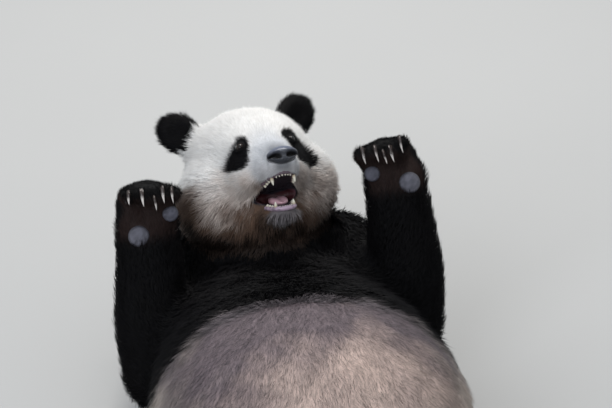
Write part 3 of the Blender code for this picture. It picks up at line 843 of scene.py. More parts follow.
# --- The skin -----------------------------------------------------------------------------------
@dataclass
class Skin:
    """One skin over all the flesh, sunk below the solids by the depth of the coat."""

    head: Head
    coat: Coat
    markings: Markings
    nearest: Nearest
    voxel: float = 0.0074
    swell: float = 0.0012
    neck_swell: float = 0.0150
    jowl_swell: float = 0.0100
    eye_radius: float = 0.0106
    lid_half: tuple[float, float] = (0.0084, 0.0044)
    floor_depth: float = 0.0050
    toe_depth: float = 0.0015
    lid_depth: float = 0.0025
    lip_depth: float = 0.0003
    sink_steps: int = 6
    bridge_pinch: float = 0.0075
    lid_rim: float = 0.0011
    lip_spread: tuple[float, float] = (0.0045, 0.0030)
    lip_rise: float = 0.0012
    nose_draw: float = 0.012
    mesh: bpy.types.Mesh = field(init=False)

    @staticmethod
    def flesh() -> list[str]:
        """The CAD nodes that the skin stands for."""
        bare = ("nose", "eye", "carpal_pad", "thumb_pad")
        return [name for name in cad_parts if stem(name) in REGION_OF and stem(name) not in bare]

    def jowl(self, points: Array) -> Array:
        """How much fuller the right cheek is low behind, where its fur meets the raised paw.

        Args:
            points: Places on the head.

        Returns:
            One length for each.
        """
        x, y, z = self.head.local(points).T
        return self.jowl_swell * ease(0.06, 0.01, z) * ease(-0.09, -0.13, x) * ease(0.005, -0.025, y)

    def gathered(self) -> bpy.types.Mesh:
        """Every solid that the skin wraps, each grown until it meets its neighbours.

        Returns:
            All of them in one mesh.
        """
        whole = bmesh.new()
        for name in [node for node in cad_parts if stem(node) in REGION_OF]:
            part = bmesh.new()
            part.from_mesh(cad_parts[name].data)
            bmesh.ops.remove_doubles(part, verts=part.verts, dist=0.00001)
            if name in ("head", "lower_jaw"):
                self.draw_teeth(part, name)
            part.normal_update()
            swell = self.neck_swell if name == "neck" else self.swell
            grown = np.full(len(part.verts), swell)
            if name == "head":
                grown = grown + self.jowl(np.array([vertex.co for vertex in part.verts]))
            for vertex, step in zip(part.verts, grown):
                vertex.co += vertex.normal * float(step)
            loose = mesh_of(part, "part")
            whole.from_mesh(loose)
            bpy.data.meshes.remove(loose)
        return mesh_of(whole, "skin")

    def draw_teeth(self, part: bmesh.types.BMesh, name: str) -> None:
        """Presses the solid's teeth back into its gums, because they are pieces of their own.

        Args:
            part: The solid.
            name: Its CAD node, the head or the lower jaw.
        """
        for vertex in part.verts:
            point = np.array(vertex.co)[None]
            if name == "head":
                here = self.head.local(point)[0]
                if self.head.mouth(point)[0] > 0.0025 and 0.13 < here[2] < 0.19:
                    here[1] = self.head.mouth_roof + 0.006
                    vertex.co = Vector(self.head.out(here))
            else:
                here = self.head.jaw_local(point)[0]
                if here[1] > -0.0030:
                    here[1] = -0.0060
                    vertex.co = Vector(self.head.jaw_out(here))

    def fused(self, loose: bpy.types.Mesh) -> bpy.types.Mesh:
        """One closed surface around the gathered solids.

        Args:
            loose: The gathered solids.

        Returns:
            The largest closed surface of those that wrap them.
        """
        item = object_of(loose)
        remesh = item.modifiers.new("fuse", "REMESH")
        remesh.mode = "VOXEL"
        remesh.voxel_size = self.voxel
        graph = bpy.context.evaluated_depsgraph_get()
        made = bpy.data.meshes.new_from_object(item.evaluated_get(graph), depsgraph=graph)
        bpy.data.objects.remove(item)
        body = bmesh.new()
        body.from_mesh(made)
        waiting, largest = set(body.verts), set()
        while waiting:
            reached, edge_of_search = set(), [waiting.pop()]
            while edge_of_search:
                vertex = edge_of_search.pop()
                if vertex not in reached:
                    reached.add(vertex)
                    edge_of_search += [edge.other_vert(vertex) for edge in vertex.link_edges]
            waiting -= reached
            largest = max(largest, reached, key=len)
        spare = [vertex for vertex in body.verts if vertex not in largest]
        bmesh.ops.delete(body, geom=spare, context="VERTS")
        return mesh_of(body, "skin")

    def sunk(self, mesh: bpy.types.Mesh) -> None:
        """Moves the surface inwards by the depth of the coat that grows there.

        Args:
            mesh: The fused surface.
        """
        points = places(mesh)
        web = Web(mesh)
        roots = [middle_of(name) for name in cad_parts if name.startswith("claw_")]
        toe = np.min([np.linalg.norm(points - root, axis=1) for root in roots], axis=0)
        points = web.soothed(points, 5, 0.5, 0.15 + 0.85 * ease(0.028, 0.048, toe))
        put(mesh, points)
        depth = self.coat.measures(points, self.nearest.nodes(points))["depth"]
        depth = web.soothed(depth, 16)
        low = ease(0.035, 0.008, points[:, 2]) * ease(-0.3, -0.8, normals(mesh)[:, 2])
        depth = blend(depth, np.full(len(depth), self.floor_depth), low)
        depth = blend(np.full(len(depth), self.toe_depth), depth, ease(0.026, 0.046, toe))
        eyes = [middle_of("eye_" + side) for side in SIDES]
        gap = np.min([np.linalg.norm(points - eye, axis=1) for eye in eyes], axis=0)
        depth = blend(np.full(len(depth), self.lid_depth), depth, ease(0.014, 0.030, gap))
        inside = ease(-0.006, -0.001, self.head.mouth(points))
        depth = blend(depth, np.full(len(depth), self.lip_depth), inside)
        for _ in range(self.sink_steps):
            points = places(mesh) - normals(mesh) * depth[:, None] / self.sink_steps
            put(mesh, web.soothed(points, 1, 0.25))

    def unwrapped(self, mesh: bpy.types.Mesh) -> None:
        """Lays the skin out flat in its own UV map.

        Args:
            mesh: The sunk surface.
        """
        item = object_of(mesh)
        bpy.context.view_layer.objects.active = item
        item.select_set(True)
        mesh.uv_layers.new(name=UV_MAP)
        bpy.ops.object.mode_set(mode="EDIT")
        bpy.ops.mesh.select_all(action="SELECT")
        bpy.ops.uv.smart_project(angle_limit=math.radians(70), island_margin=0.0015)
        bpy.ops.object.mode_set(mode="OBJECT")
        bpy.data.objects.remove(item)

    def refined(self, mesh: bpy.types.Mesh) -> None:
        """Divides the faces of the face, more finely round eyes, mouth and nose.

        Args:
            mesh: The unwrapped surface.
        """
        eyes = [middle_of("eye_" + side) for side in SIDES]
        muzzle = self.head.out(np.array((0.0, -0.060, 0.140)))
        rounds = (
            [(self.head.out(np.array((0.0, -0.02, 0.10))), 0.115)],
            [(eye, 0.030) for eye in eyes] + [(muzzle, 0.062)],
            [(eye, 0.019) for eye in eyes],
        )
        body = bmesh.new()
        body.from_mesh(mesh)
        for balls in rounds:
            near = set()
            for centre, radius in balls:
                middle = Vector(centre)
                near |= {vertex for vertex in body.verts if (vertex.co - middle).length < radius}
            edges = [edge for edge in body.edges if edge.verts[0] in near and edge.verts[1] in near]
            bmesh.ops.subdivide_edges(body, edges=edges, cuts=1, use_grid_fill=True)
        bmesh.ops.triangulate(body, faces=body.faces)
        body.to_mesh(mesh)
        body.free()

    def faced(self, mesh: bpy.types.Mesh) -> None:
        """Shapes lids round the eyes, lips round the mouth and the folds between.

        Args:
            mesh: The refined surface.
        """
        points, web = places(mesh), Web(mesh)
        here = self.head.local(points)
        face = ease(0.125, 0.100, np.linalg.norm(here - np.array((0.0, -0.02, 0.10)), axis=1))
        points = web.soothed(points, 4, 0.5, face)
        x, y, z = here.T
        side = ease(0.020, 0.040, np.abs(x)) * ease(0.105, 0.130, z) * ease(0.190, 0.172, z)
        side = side * ease(-0.085, -0.060, y) * ease(0.020, -0.005, y)
        points = points - self.head.axes[:, 0] * (np.sign(x) * self.bridge_pinch * side)[:, None]
        points = self.lipped(points, web)
        for side, sign in SIDES.items():
            points = self.lidded(points, middle_of("eye_" + side), sign)
        near = np.min([np.linalg.norm(points - middle_of("eye_" + side), axis=1) for side in SIDES], axis=0)
        points = web.soothed(points, 2, 0.4, ease(0.040, 0.026, near))
        for side, sign in SIDES.items():
            points = self.lidded(points, middle_of("eye_" + side), sign)
        put(mesh, self.behind_nose(points))

    def gaze(self, sign: float) -> Array:
        """The turn of one eye's opening.

        Args:
            sign: The eye's side, -1 or 1.

        Returns:
            Its columns: along, across and out of the opening.
        """
        out = unit(self.head.axes @ np.array((sign * 0.42, 0.16, 0.90)))
        along = self.head.axes @ np.array((sign * 0.80, -0.52, 0.0))
        along = unit(along - along.dot(out) * out)
        return np.stack([along, np.cross(out, along), out], axis=1)

    def lidded(self, points: Array, eye: Array, sign: float) -> Array:
        """Wraps the skin round one eyeball and leaves it an almond opening.

        Args:
            points: Places of the skin's vertices.
            eye: Middle of the eyeball.
            sign: The eye's side, -1 or 1.

        Returns:
            The moved places.
        """
        radius, (long, high) = self.eye_radius, self.lid_half
        away = points - eye
        along, across, out = (away @ self.gaze(sign)).T
        distance = np.linalg.norm(away, axis=1)
        spread = np.hypot(along, across)
        narrow = 1.0 - 0.25 * np.minimum(1.0, along / long) ** 2
        opening = (along / long) ** 2 + (across / (high * narrow)) ** 2
        lid = radius * 1.10 + self.lid_rim * np.exp(-(((opening - 1.5) / 0.7) ** 2))
        aim = np.where(opening < 1.0, radius * 0.80, lid)
        share = ease(0.021, 0.0105, spread) * ease(-0.002, 0.004, out)
        moved = eye + unit(away) * blend(distance, aim, share)[:, None]
        return np.where((distance < 0.03)[:, None], moved, points)

    def lipped(self, points: Array, web: Web) -> Array:
        """Rounds the lips and widens the mouth behind them, so that they hang over the gums.

        Args:
            points: Places of the skin's vertices.
            web: Which of them are neighbours.

        Returns:
            The moved places.
        """
        z = self.head.local(points)[:, 2]
        middle, _ = self.head.mouth_span(z)
        wall = web.soothed((self.head.mouth(points) > -0.0012) * (z > 0.06) * 1.0, 14)
        centre = self.head.out(np.stack([np.zeros(len(z)), middle, z], axis=1))
        away = unit(points - centre)
        lower = ease(0.0, -0.5, away @ self.head.axes[:, 1])
        wide, narrower = self.lip_spread
        points = points + away * (ease(0.60, 0.97, wall) * (wide - narrower * lower))[:, None]
        rim = ease(0.15, 0.35, wall) * ease(0.85, 0.65, wall)
        points = points + self.head.axes[:, 2] * (self.lip_rise * rim)[:, None]
        return web.soothed(points, 3, 0.4, rim)

    def behind_nose(self, points: Array) -> Array:
        """Draws the skin back inside the nose leather, where its nostrils open.

        Args:
            points: Places of the skin's vertices.

        Returns:
            The moved places.
        """
        here = self.head.local(points) - np.array(Nose.place)
        inside = ease(1.10, 0.80, np.linalg.norm(here / np.array(Nose.size), axis=1))
        return points - self.head.axes[:, 2] * (self.nose_draw * inside)[:, None]

    def made(self) -> None:
        """Builds the skin's mesh, with its UV map, its lids and its lips."""
        mesh = self.fused(self.gathered())
        LOG.info("skin fused: %d faces", len(mesh.polygons))
        self.sunk(mesh)
        self.unwrapped(mesh)
        LOG.info("skin unwrapped")
        self.refined(mesh)
        self.faced(mesh)
        mesh.shade_smooth()
        self.mesh = mesh

    def dressed(self) -> None:
        """Paints the finished skin and puts it in place of the nodes of flesh."""
        mesh, points = self.mesh, places(self.mesh)
        nodes = self.nearest.nodes(points)
        mouth = self.head.mouth(points)
        tones = self.markings.at(points, nodes)
        bald = self.markings.bald(points) * (nodes == "trunk") * (1.0 - self.markings.chest(points))
        tones = blend(tones * 0.8, tones * np.array((1.08, 1.02, 1.01)), bald)
        keep(mesh, "marking", self.markings.bare(points, tones, mouth))
        near = (self.head.local(points)[:, 2] > 0.04) * 1.0
        keep(mesh, "wet", ease(-0.006, -0.002, mouth) * near)
        standing_for(dressed_in(mesh, "skin", SKIN), Slot.WHITE, *self.flesh())


# --- Tufts --------------------------------------------------------------------------------------
def tuft_shape(bent: bool) -> tuple[Array, Array, Array]:
    """One tuft: a three-sided cone, with a ring half way up where it is bent.

    Args:
        bent: Whether it has the ring.

    Returns:
        Its vertices as (angle x, angle y, share of the length), its triangles, and each corner's place
        on a square patch.
    """
    clay = bmesh.new()
    bmesh.ops.create_cone(clay, cap_ends=False, segments=3, radius1=1.0, radius2=0.001, depth=1.0)
    if bent:
        whole = clay.verts[:] + clay.edges[:] + clay.faces[:]
        bmesh.ops.bisect_plane(clay, geom=whole, plane_co=(0, 0, 0), plane_no=(0, 0, 1))
    bmesh.ops.remove_doubles(clay, verts=clay.verts, dist=0.01)
    bmesh.ops.triangulate(clay, faces=clay.faces)
    bmesh.ops.recalc_face_normals(clay, faces=clay.faces)
    clay.verts.ensure_lookup_table()
    points = np.array([vertex.co for vertex in clay.verts])
    faces = np.array([[vertex.index for vertex in face.verts] for face in clay.faces])
    clay.free()
    share = points[:, 2] + 0.5
    angle = np.arctan2(points[:, 1], points[:, 0]) / (2 * math.pi) % 1.0
    around, tip = angle[faces], share[faces] > 0.9
    split = np.ptp(np.where(tip, around[:, :1], around), axis=1)[:, None] > 0.6
    around = np.where(split, (around + 0.5) % 1.0, around)
    around = np.where(tip, np.nanmean(np.where(tip, np.nan, around), axis=1, keepdims=True), around)
    patch = np.stack([around, share[faces]], axis=2)
    level = np.maximum(np.hypot(points[:, 0], points[:, 1]), 1e-9)
    ring = points[:, :2] / level[:, None] * (share < 0.9)[:, None]
    return np.column_stack([ring, share]), faces, patch


@dataclass
class Tufts:
    """The coat's tufts, rooted on the skin."""

    skin: Skin
    most: int = 290000
    piece_faces: int = 190000
    bent_from: float = 0.0215
    patch: float = 0.0030
    softness: float = 0.55
    seed: int = 7
    locks: int = 8192
    lock_hash: tuple[int, int, int] = (73856093, 19349663, 83492791)
    sunk: float = 0.0012
    clear: float = 0.0012
    black_below: float = 0.045

    def growth(self, points: Array, out: Array, nodes: Array) -> Array:
        """How thickly the coat grows at each point.

        Args:
            points: Places of the skin's vertices.
            out: The skin's normal at each.
            nodes: Name of the CAD node that each lies in.

        Returns:
            0 on bare skin and 1 in full coat, for each.
        """
        head, skin = self.skin.head, self.skin
        here, jaw = head.local(points), head.jaw_local(points)
        grows = np.ones(len(points))
        ahead = points + head.axes[:, 2] * 0.014
        open_mouth = np.maximum(head.mouth(points), head.mouth(ahead))
        lips = ease(-0.0060, -0.0035, open_mouth) * (here[:, 2] > 0.04)
        chin = ease(-0.0150, -0.0115, jaw[:, 1]) * ease(0.105, 0.120, jaw[:, 2])
        chin = chin * ease(0.034, 0.028, np.abs(here[:, 0])) * (nodes == "lower_jaw")
        nose = np.sum(((here - np.array(Nose.place)) / np.array(Nose.size)) ** 2, axis=1)
        grows *= (1.0 - lips) * (1.0 - chin) * ease(0.95, 1.10, nose)
        for side, sign in SIDES.items():
            along, across, deep = ((points - middle_of("eye_" + side)) @ skin.gaze(sign)).T
            open_eye = (along / skin.lid_half[0]) ** 2 + (across / skin.lid_half[1]) ** 2
            grows *= np.where(np.abs(deep) < 0.03, ease(1.6, 2.3, open_eye), 1.0)
        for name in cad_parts:
            if "_pad_" in name:
                gap = np.linalg.norm(points - middle_of(name), axis=1)
                grows *= ease(0.92, 1.0, gap / Pads.radius(name))
        for centre, axes, size in Pads.toe_pads(skin.coat.paws, skin.coat.soles):
            away = (points - centre) @ axes / np.append(size[:2], 2.2 * size[2])
            grows *= ease(0.8, 1.0, np.linalg.norm(away, axis=1))
        under = ease(0.016, 0.010, points[:, 2]) * ease(-0.6, -0.85, out[:, 2])
        return grows * (1.0 - under)

    def rooted(self) -> dict[str, Array]:
        """Picks the roots over the skin and gathers what each tuft needs to know.

        Returns:
            One array for each thing to know, with one row for each tuft.
        """
        skin, rng = self.skin, np.random.default_rng(self.seed)
        mesh = skin.mesh
        points, out = places(mesh), normals(mesh)
        nodes, web = skin.nearest.nodes(points), Web(mesh)
        held = {name: web.soothed(value, 20) for name, value in skin.coat.measures(points, nodes).items()}
        flow = web.soothed(skin.coat.flow(points, nodes), 12)
        held["growth"] = self.growth(points, out, nodes)
        mesh.calc_loop_triangles()
        count = len(mesh.loop_triangles)
        corners, loops = np.empty(count * 3, np.int32), np.empty(count * 3, np.int32)
        mesh.loop_triangles.foreach_get("vertices", corners)
        mesh.loop_triangles.foreach_get("loops", loops)
        corners, loops = corners.reshape(-1, 3), loops.reshape(-1, 3)
        flat = np.empty(len(mesh.loops) * 2, np.float32)
        mesh.uv_layers[UV_MAP].uv.foreach_get("vector", flat)
        flat = flat.reshape(-1, 2)
        a, b, c = (points[corners[:, n]] for n in range(3))
        area = 0.5 * np.linalg.norm(np.cross(b - a, c - a), axis=1)
        weight = area * held["growth"][corners].mean(1) / held["spacing"][corners].mean(1) ** 2
        total = int(min(self.most, weight.sum()))
        LOG.info("coat wants %d tufts over %.2f square metres, gets %d", weight.sum(), area.sum(), total)
        steps = (np.arange(total) + rng.uniform(0, 1, total)) / total * weight.sum()
        face = np.minimum(np.searchsorted(np.cumsum(weight), steps), count - 1)
        mix = rng.dirichlet((1.0, 1.0, 1.0), total)

        def at(values: Array) -> Array:
            """Values at the roots, from values at the vertices."""
            picked = values[corners[face]]
            return np.einsum("ij,ij...->i...", mix, picked)

        found = {name: at(value) for name, value in held.items()}
        found["root"], found["out"], found["flow"] = at(points), unit(at(out)), at(flow)
        found["node"] = nodes[corners[face, 0]]
        found["uv"] = np.einsum("ij,ijk->ik", mix, flat[loops[face]])
        sure = found["growth"] > rng.uniform(0.0, 0.6, total)
        found = {name: value[sure] for name, value in found.items()}
        found["tone"] = skin.markings.at(found["root"], found["node"])
        return found

    def combed(self, found: dict[str, Array]) -> dict[str, Array]:
        """Bends each tuft along the lie of the coat, in locks that lean together.

        Args:
            found: What each tuft needs to know.

        Returns:
            The same with each tuft's base, bend and tip.
        """
        rng = np.random.default_rng(self.seed + 1)
        root, out, count = found["root"], found["out"], len(found["root"])
        flow = unit(found["flow"] - out * np.sum(found["flow"] * out, axis=1, keepdims=True))
        aside = np.cross(out, flow)
        size = 0.35 * found["length"] + 0.003
        lock = np.floor(root / size[:, None] + 0.8 * rng.normal(size=(count, 3)) * 0.35).astype(np.int64)
        key = np.bitwise_xor.reduce(lock * np.array(self.lock_hash), axis=1) % self.locks
        lean = rng.normal(size=(self.locks, 3))[key]
        swirl = wobble(root, 0.09, 51) * 0.25
        flow = unit(flow + aside * (swirl + 0.20 * lean[:, 0] + 0.13 * rng.normal(size=count))[:, None])
        length = found["length"] * (1.0 + 0.10 * lean[:, 1] + 0.12 * rng.normal(size=count))
        length = np.clip(length, 0.5 * found["length"], 1.35 * found["length"])
        slope = np.arcsin(np.clip(0.86 * found["depth"] / found["length"], 0.08, 0.85))
        slope = slope * (1.0 + 0.16 * lean[:, 2] + 0.12 * rng.normal(size=count))
        stand = np.radians(found["stand"])
        first, last = slope + stand, np.maximum(slope - 0.8 * stand, 0.03)

        def step(angle: Array) -> Array:
            """Half a tuft's length at that angle over the skin."""
            return (flow * np.cos(angle)[:, None] + out * np.sin(angle)[:, None]) * length[:, None] * 0.5

        bent = found["length"] >= self.bent_from
        base = root - out * self.sunk
        bend = base + step(np.where(bent, first, slope + 0.3 * stand))
        tip = bend + step(np.where(bent, last, slope + 0.3 * stand))
        for points in (bend, tip):
            points[:, 2] = np.maximum(points[:, 2], self.clear)
        line = {"base": base, "bend": bend, "tip": tip}
        return found | line | {"aside": unit(np.cross(out, flow)), "jitter": lean[:, 1]}

    def mesh(self, name: str, found: dict[str, Array], chosen: Array) -> bpy.types.Mesh:
        """One joined mesh of the chosen tufts.

        Args:
            name: The mesh's name.
            found: What each tuft needs to know.
            chosen: Numbers of the tufts that it holds.

        Returns:
            The mesh.
        """
        shape, faces, patch = tuft_shape(found["length"][chosen].min() >= self.bent_from)
        rng = np.random.default_rng(len(chosen))
        pick = {key: value[chosen] for key, value in found.items()}
        count = len(chosen)
        share = shape[:, 2]
        line = np.where(
            (share < 0.25)[None, :, None], pick["base"][:, None],
            np.where((share < 0.75)[None, :, None], pick["bend"][:, None], pick["tip"][:, None]),
        )
        taper = np.where(share < 0.25, 1.0, 0.78)[None, :] * pick["width"][:, None]
        rise = unit(np.cross(pick["tip"] - pick["base"], pick["aside"]))
        ring = shape[:, :2]
        points = line + taper[:, :, None] * (
            ring[None, :, 0, None] * pick["aside"][:, None] + 0.6 * ring[None, :, 1, None] * rise[:, None]
        )
        mesh = bpy.data.meshes.new(name)
        mesh.vertices.add(count * len(shape))
        mesh.vertices.foreach_set("co", points.astype(np.float32).ravel())
        corners = (faces[None] + (np.arange(count) * len(shape))[:, None, None]).ravel()
        mesh.loops.add(len(corners))
        mesh.loops.foreach_set("vertex_index", corners.astype(np.int32))
        mesh.polygons.add(len(corners) // 3)
        mesh.polygons.foreach_set("loop_start", np.arange(0, len(corners), 3, dtype=np.int32))
        mesh.update(calc_edges=True)
        flat = pick["uv"][:, None, None] + (patch[None] - 0.5) * self.patch
        mesh.uv_layers.new(name=UV_MAP).uv.foreach_set("vector", flat.astype(np.float32).ravel())
        # Each tuft darker at its root and lighter at its tip: painted shade between the tufts.
        shade = 0.80 + 0.28 * share
        vary = 1.0 + 0.06 * pick["jitter"] + 0.07 * rng.normal(size=count)
        if "trunk_pale_short" in name:
            vary *= np.where(rng.uniform(size=count) < 0.22, 0.36, 1.0)
        tones = pick["tone"][:, None] * (shade[None, :] * vary[:, None])[:, :, None]
        keep(mesh, "marking", tones.reshape(-1, 3))
        mesh.shade_smooth()
        hide = np.repeat(pick["out"], len(shape), axis=0)
        soft = normals(mesh) * (1.0 - self.softness) + hide * self.softness
        mesh.normals_split_custom_set_from_vertices(unit(soft))
        return mesh

    def groups(self, found: dict[str, Array]) -> dict[str, Array]:
        """Sorts the tufts by part of the body, colour and length.

        Args:
            found: What each tuft needs to know.

        Returns:
            The numbers of each piece's tufts.
        """
        nodes = found["node"]
        pale = found["tone"].mean(axis=1) > self.black_below
        part = np.full(len(nodes), "trunk", dtype="U16")
        for key, name in (("ear", "ears"), ("neck", "neck"), ("tail", "rump")):
            part[Coat.of_stem(nodes, key)] = name
        part[np.isin(nodes, FACE_NODES)] = "head"
        for side in SIDES:
            for limb, stems in (("foreleg", ("upper_arm", "forearm", "forepaw", "carpal_pad", "thumb_pad")),
                                ("hind_leg", ("thigh", "shank", "hindfoot"))):
                part[np.isin(nodes, [f"{name}_{side}" for name in stems])] = f"{limb}_{side}"
        bent = found["length"] >= self.bent_from
        groups = {}
        for name in np.unique(part):
            for tone, light in (("black", False), ("pale", True)):
                for size, curved in (("short", False), ("long", True)):
                    chosen = np.flatnonzero((part == name) & (pale == light) & (bent == curved))
                    if len(chosen) > 20:
                        groups[f"coat_{name}_{tone}_{size}"] = chosen
        return groups

    def build(self) -> None:
        """Makes every piece of the coat."""
        found = self.combed(self.rooted())
        for name, chosen in self.groups(found).items():
            chosen = chosen[np.argsort(found["root"][chosen] @ np.array((0.8, 0.6, 0.1)))]
            most = self.piece_faces // (9 if name.endswith("long") else 3)
            parts = np.array_split(chosen, -(-len(chosen) // most))
            for number, some in enumerate(parts):
                title = name if len(parts) == 1 else f"{name}_{number + 1}"
                black = "_black" in name
                item = dressed_in(self.mesh(title, found, some), title, BLACK_COAT if black else PALE_COAT)
                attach(item, "root")
                LOG.info("%s: %d tufts", title, len(some))


# --- Nose, eyes, mouth, claws and pads ----------------------------------------------------------
def swept(clay: bmesh.types.BMesh, stations: list[tuple[Array, float]], side: Array, flat: float = 1.0,
          segments: int = 12) -> None:
    """A closed tapered tube through the stations, made by extruding one ring.

    Args:
        clay: The bmesh to add it to; its float layer "along" runs from 0 to 1.
        stations: (middle, radius) of each ring.
        side: The direction in which the ring is narrowed.
        flat: How much it is narrowed.
        segments: Corners of the ring.
    """
    along = clay.verts.layers.float.get("along") or clay.verts.layers.float.new("along")
    centres = [np.array(centre, float) for centre, _ in stations]
    frames = []
    for number, (_, radius) in enumerate(stations):
        ahead = unit(centres[min(number + 1, len(centres) - 1)] - centres[max(number - 1, 0)])
        across = unit(np.array(side, float) - np.dot(side, ahead) * ahead)
        axes = np.stack([across * flat * radius, np.cross(ahead, across) * radius, ahead * radius], axis=1)
        place = Matrix(axes.tolist()).to_4x4()
        place.translation = Vector(centres[number])
        frames.append(place)
    ring = bmesh.ops.create_circle(clay, segments=segments, radius=1.0, matrix=frames[0])["verts"]
    edges = list({edge for vertex in ring for edge in vertex.link_edges})
    bmesh.ops.edgeloop_fill(clay, edges=edges)
    for number in range(1, len(frames)):
        made = bmesh.ops.extrude_edge_only(clay, edges=edges)["geom"]
        ring = [part for part in made if isinstance(part, bmesh.types.BMVert)]
        edges = [part for part in made if isinstance(part, bmesh.types.BMEdge)]
        bmesh.ops.transform(clay, matrix=frames[number] @ frames[number - 1].inverted(), verts=ring)
        for vertex in ring:
            vertex[along] = number / (len(frames) - 1)
    bmesh.ops.edgeloop_fill(clay, edges=edges)


def closed(clay: bmesh.types.BMesh, name: str) -> bpy.types.Mesh:
    """A smooth mesh whose faces point outwards.

    Args:
        clay: Its shape, which is freed.
        name: Its name.

    Returns:
        The mesh.
    """
    bmesh.ops.recalc_face_normals(clay, faces=clay.faces)
    mesh = mesh_of(clay, name)
    mesh.shade_smooth()
    return mesh


def along_of(mesh: bpy.types.Mesh) -> Array:
    """The share of its length at which each vertex of a swept mesh lies.

    Args:
        mesh: The swept mesh.

    Returns:
        One value for each vertex.
    """
    found = np.empty(len(mesh.vertices), np.float32)
    mesh.attributes["along"].data.foreach_get("value", found)
    return found.astype(float)


def ball(name: str, rings: int = 32) -> tuple[bpy.types.Mesh, Array]:
    """A ball of radius one.

    Args:
        name: The mesh's name.
        rings: How many rings of faces it has from pole to pole.

    Returns:
        The mesh and its vertices' places.
    """
    clay = bmesh.new()
    bmesh.ops.create_uvsphere(clay, u_segments=rings * 3 // 2, v_segments=rings, radius=1.0)
    mesh = closed(clay, name)
    return mesh, places(mesh)


@dataclass
class Nose:
    """The nose leather: a wide pad, narrower below, with two nostrils and a groove between them."""

    head: Head
    place: Triple = (0.0, -0.0325, 0.190)
    size: Triple = (0.0310, 0.0160, 0.0165)
    under: Triple = (0.042, 0.046, 0.058)
    # The upper tone makes the leather lighter and bluish on top: a painted reflection of the sky.
    upper: Triple = (0.098, 0.118, 0.185)
    # The dark tone is painted shade in the nostrils' hollows.
    dark: Triple = (0.0010, 0.0010, 0.0011)

    def build(self) -> None:
        """Makes the nose in place of its CAD node."""
        mesh, points = ball("nose_leather", 56)
        x, y, z = points.T
        aside = np.abs(x)
        level = y + 0.24 - 0.22 * (aside - 0.35)
        nostril = np.exp(-(((aside - 0.46) / 0.27) ** 2) - (level / 0.27) ** 2)
        slit = np.exp(-(((aside - 0.76) / 0.20) ** 2) - ((level + 0.03) / 0.14) ** 2)
        groove = np.exp(-((x / 0.055) ** 2)) * ease(0.15, -0.25, y)
        front = ease(-0.1, 0.3, z)
        hollow = np.clip(front * (1.15 * nostril + 0.75 * slit), 0.0, 0.95)
        wing = np.exp(-(((aside - 0.55) / 0.28) ** 2) - ((y - 0.28) / 0.20) ** 2)
        rim = np.exp(-(((aside - 0.50) / 0.30) ** 2) - ((level + 0.30) / 0.10) ** 2)
        z = z - hollow - 0.12 * groove * front + (0.06 * wing + 0.05 * rim) * front
        x = x * (1.0 - 0.30 * ease(-0.15, -1.0, y)) * (1.0 + 0.03 * wing)
        y = y * (1.0 + 0.04 * (1.0 - x * x)) - 0.10 * ease(0.4, 1.0, np.abs(x)) * ease(0.3, 1.0, y)
        local = np.stack([x, y, z], axis=1) * np.array(self.size) + np.array(self.place)
        put(mesh, self.head.out(local))
        # Lighter and bluish towards the top: a painted sky reflection.
        base = blend(np.array(self.under)[None], np.array(self.upper)[None], ease(0.0, 0.8, y))
        # Black where the nostrils are hollow: painted shade.
        keep(mesh, "marking", blend(base, np.array(self.dark)[None], ease(0.22, 0.42, hollow)))
        standing_for(dressed_in(mesh, "nose_leather", NOSE_LEATHER), Slot.NOSE, "nose")


@dataclass
class Eyes:
    """Two brown eyes under a clear bulging cornea."""

    skin: Skin
    bulge: float = 0.10
    pupil: Triple = (0.0015, 0.0012, 0.0010)
    iris: Triple = (0.016, 0.008, 0.005)
    iris_rim: Triple = (0.010, 0.006, 0.004)
    white: Triple = (0.012, 0.009, 0.008)

    def build(self) -> None:
        """Makes each eye in place of its CAD node."""
        for side, sign in SIDES.items():
            mesh, points = ball("eye_ball_" + side, 48)
            lean = np.degrees(np.arccos(np.clip(points[:, 2], -1.0, 1.0)))
            bulge = 1.0 + self.bulge * ease(40.0, 12.0, lean)
            keep(mesh, "marking", self.tones(lean, points))
            radius = self.skin.eye_radius
            put(mesh, middle_of("eye_" + side) + points * radius * bulge[:, None] @ self.skin.gaze(sign).T)
            standing_for(dressed_in(mesh, "eye_ball_" + side, EYE), Slot.EYE, "eye_" + side)

    def tones(self, lean: Array, points: Array) -> Array:
        """Black pupil, dark brown iris with fine rays, and a brown white of the eye.

        Args:
            lean: Degrees of each vertex from the middle of the pupil.
            points: Places on a ball of radius one.

        Returns:
            One colour for each.
        """
        spin = np.arctan2(points[:, 1], points[:, 0])
        rays = 1.0 + 0.25 * np.sin(23 * spin) * np.sin(11 * spin + 1.0)
        iris = np.array(self.iris)[None] * rays[:, None]
        found = blend(np.array(self.pupil)[None], iris, ease(13.0, 16.0, lean))
        found = blend(found, np.array(self.iris_rim)[None], ease(33.0, 38.0, lean))
        return blend(found, np.array(self.white)[None], ease(44.0, 52.0, lean))


# A tooth's outline: (share of its height over the gum, share of its radius).
TOOTH_PROFILE = (
    (-0.25, 0.80),
    (0.0, 0.97),
    (0.25, 1.0),
    (0.5, 0.80),
    (0.75, 0.50),
    (0.93, 0.24),
    (1.0, 0.06),
)


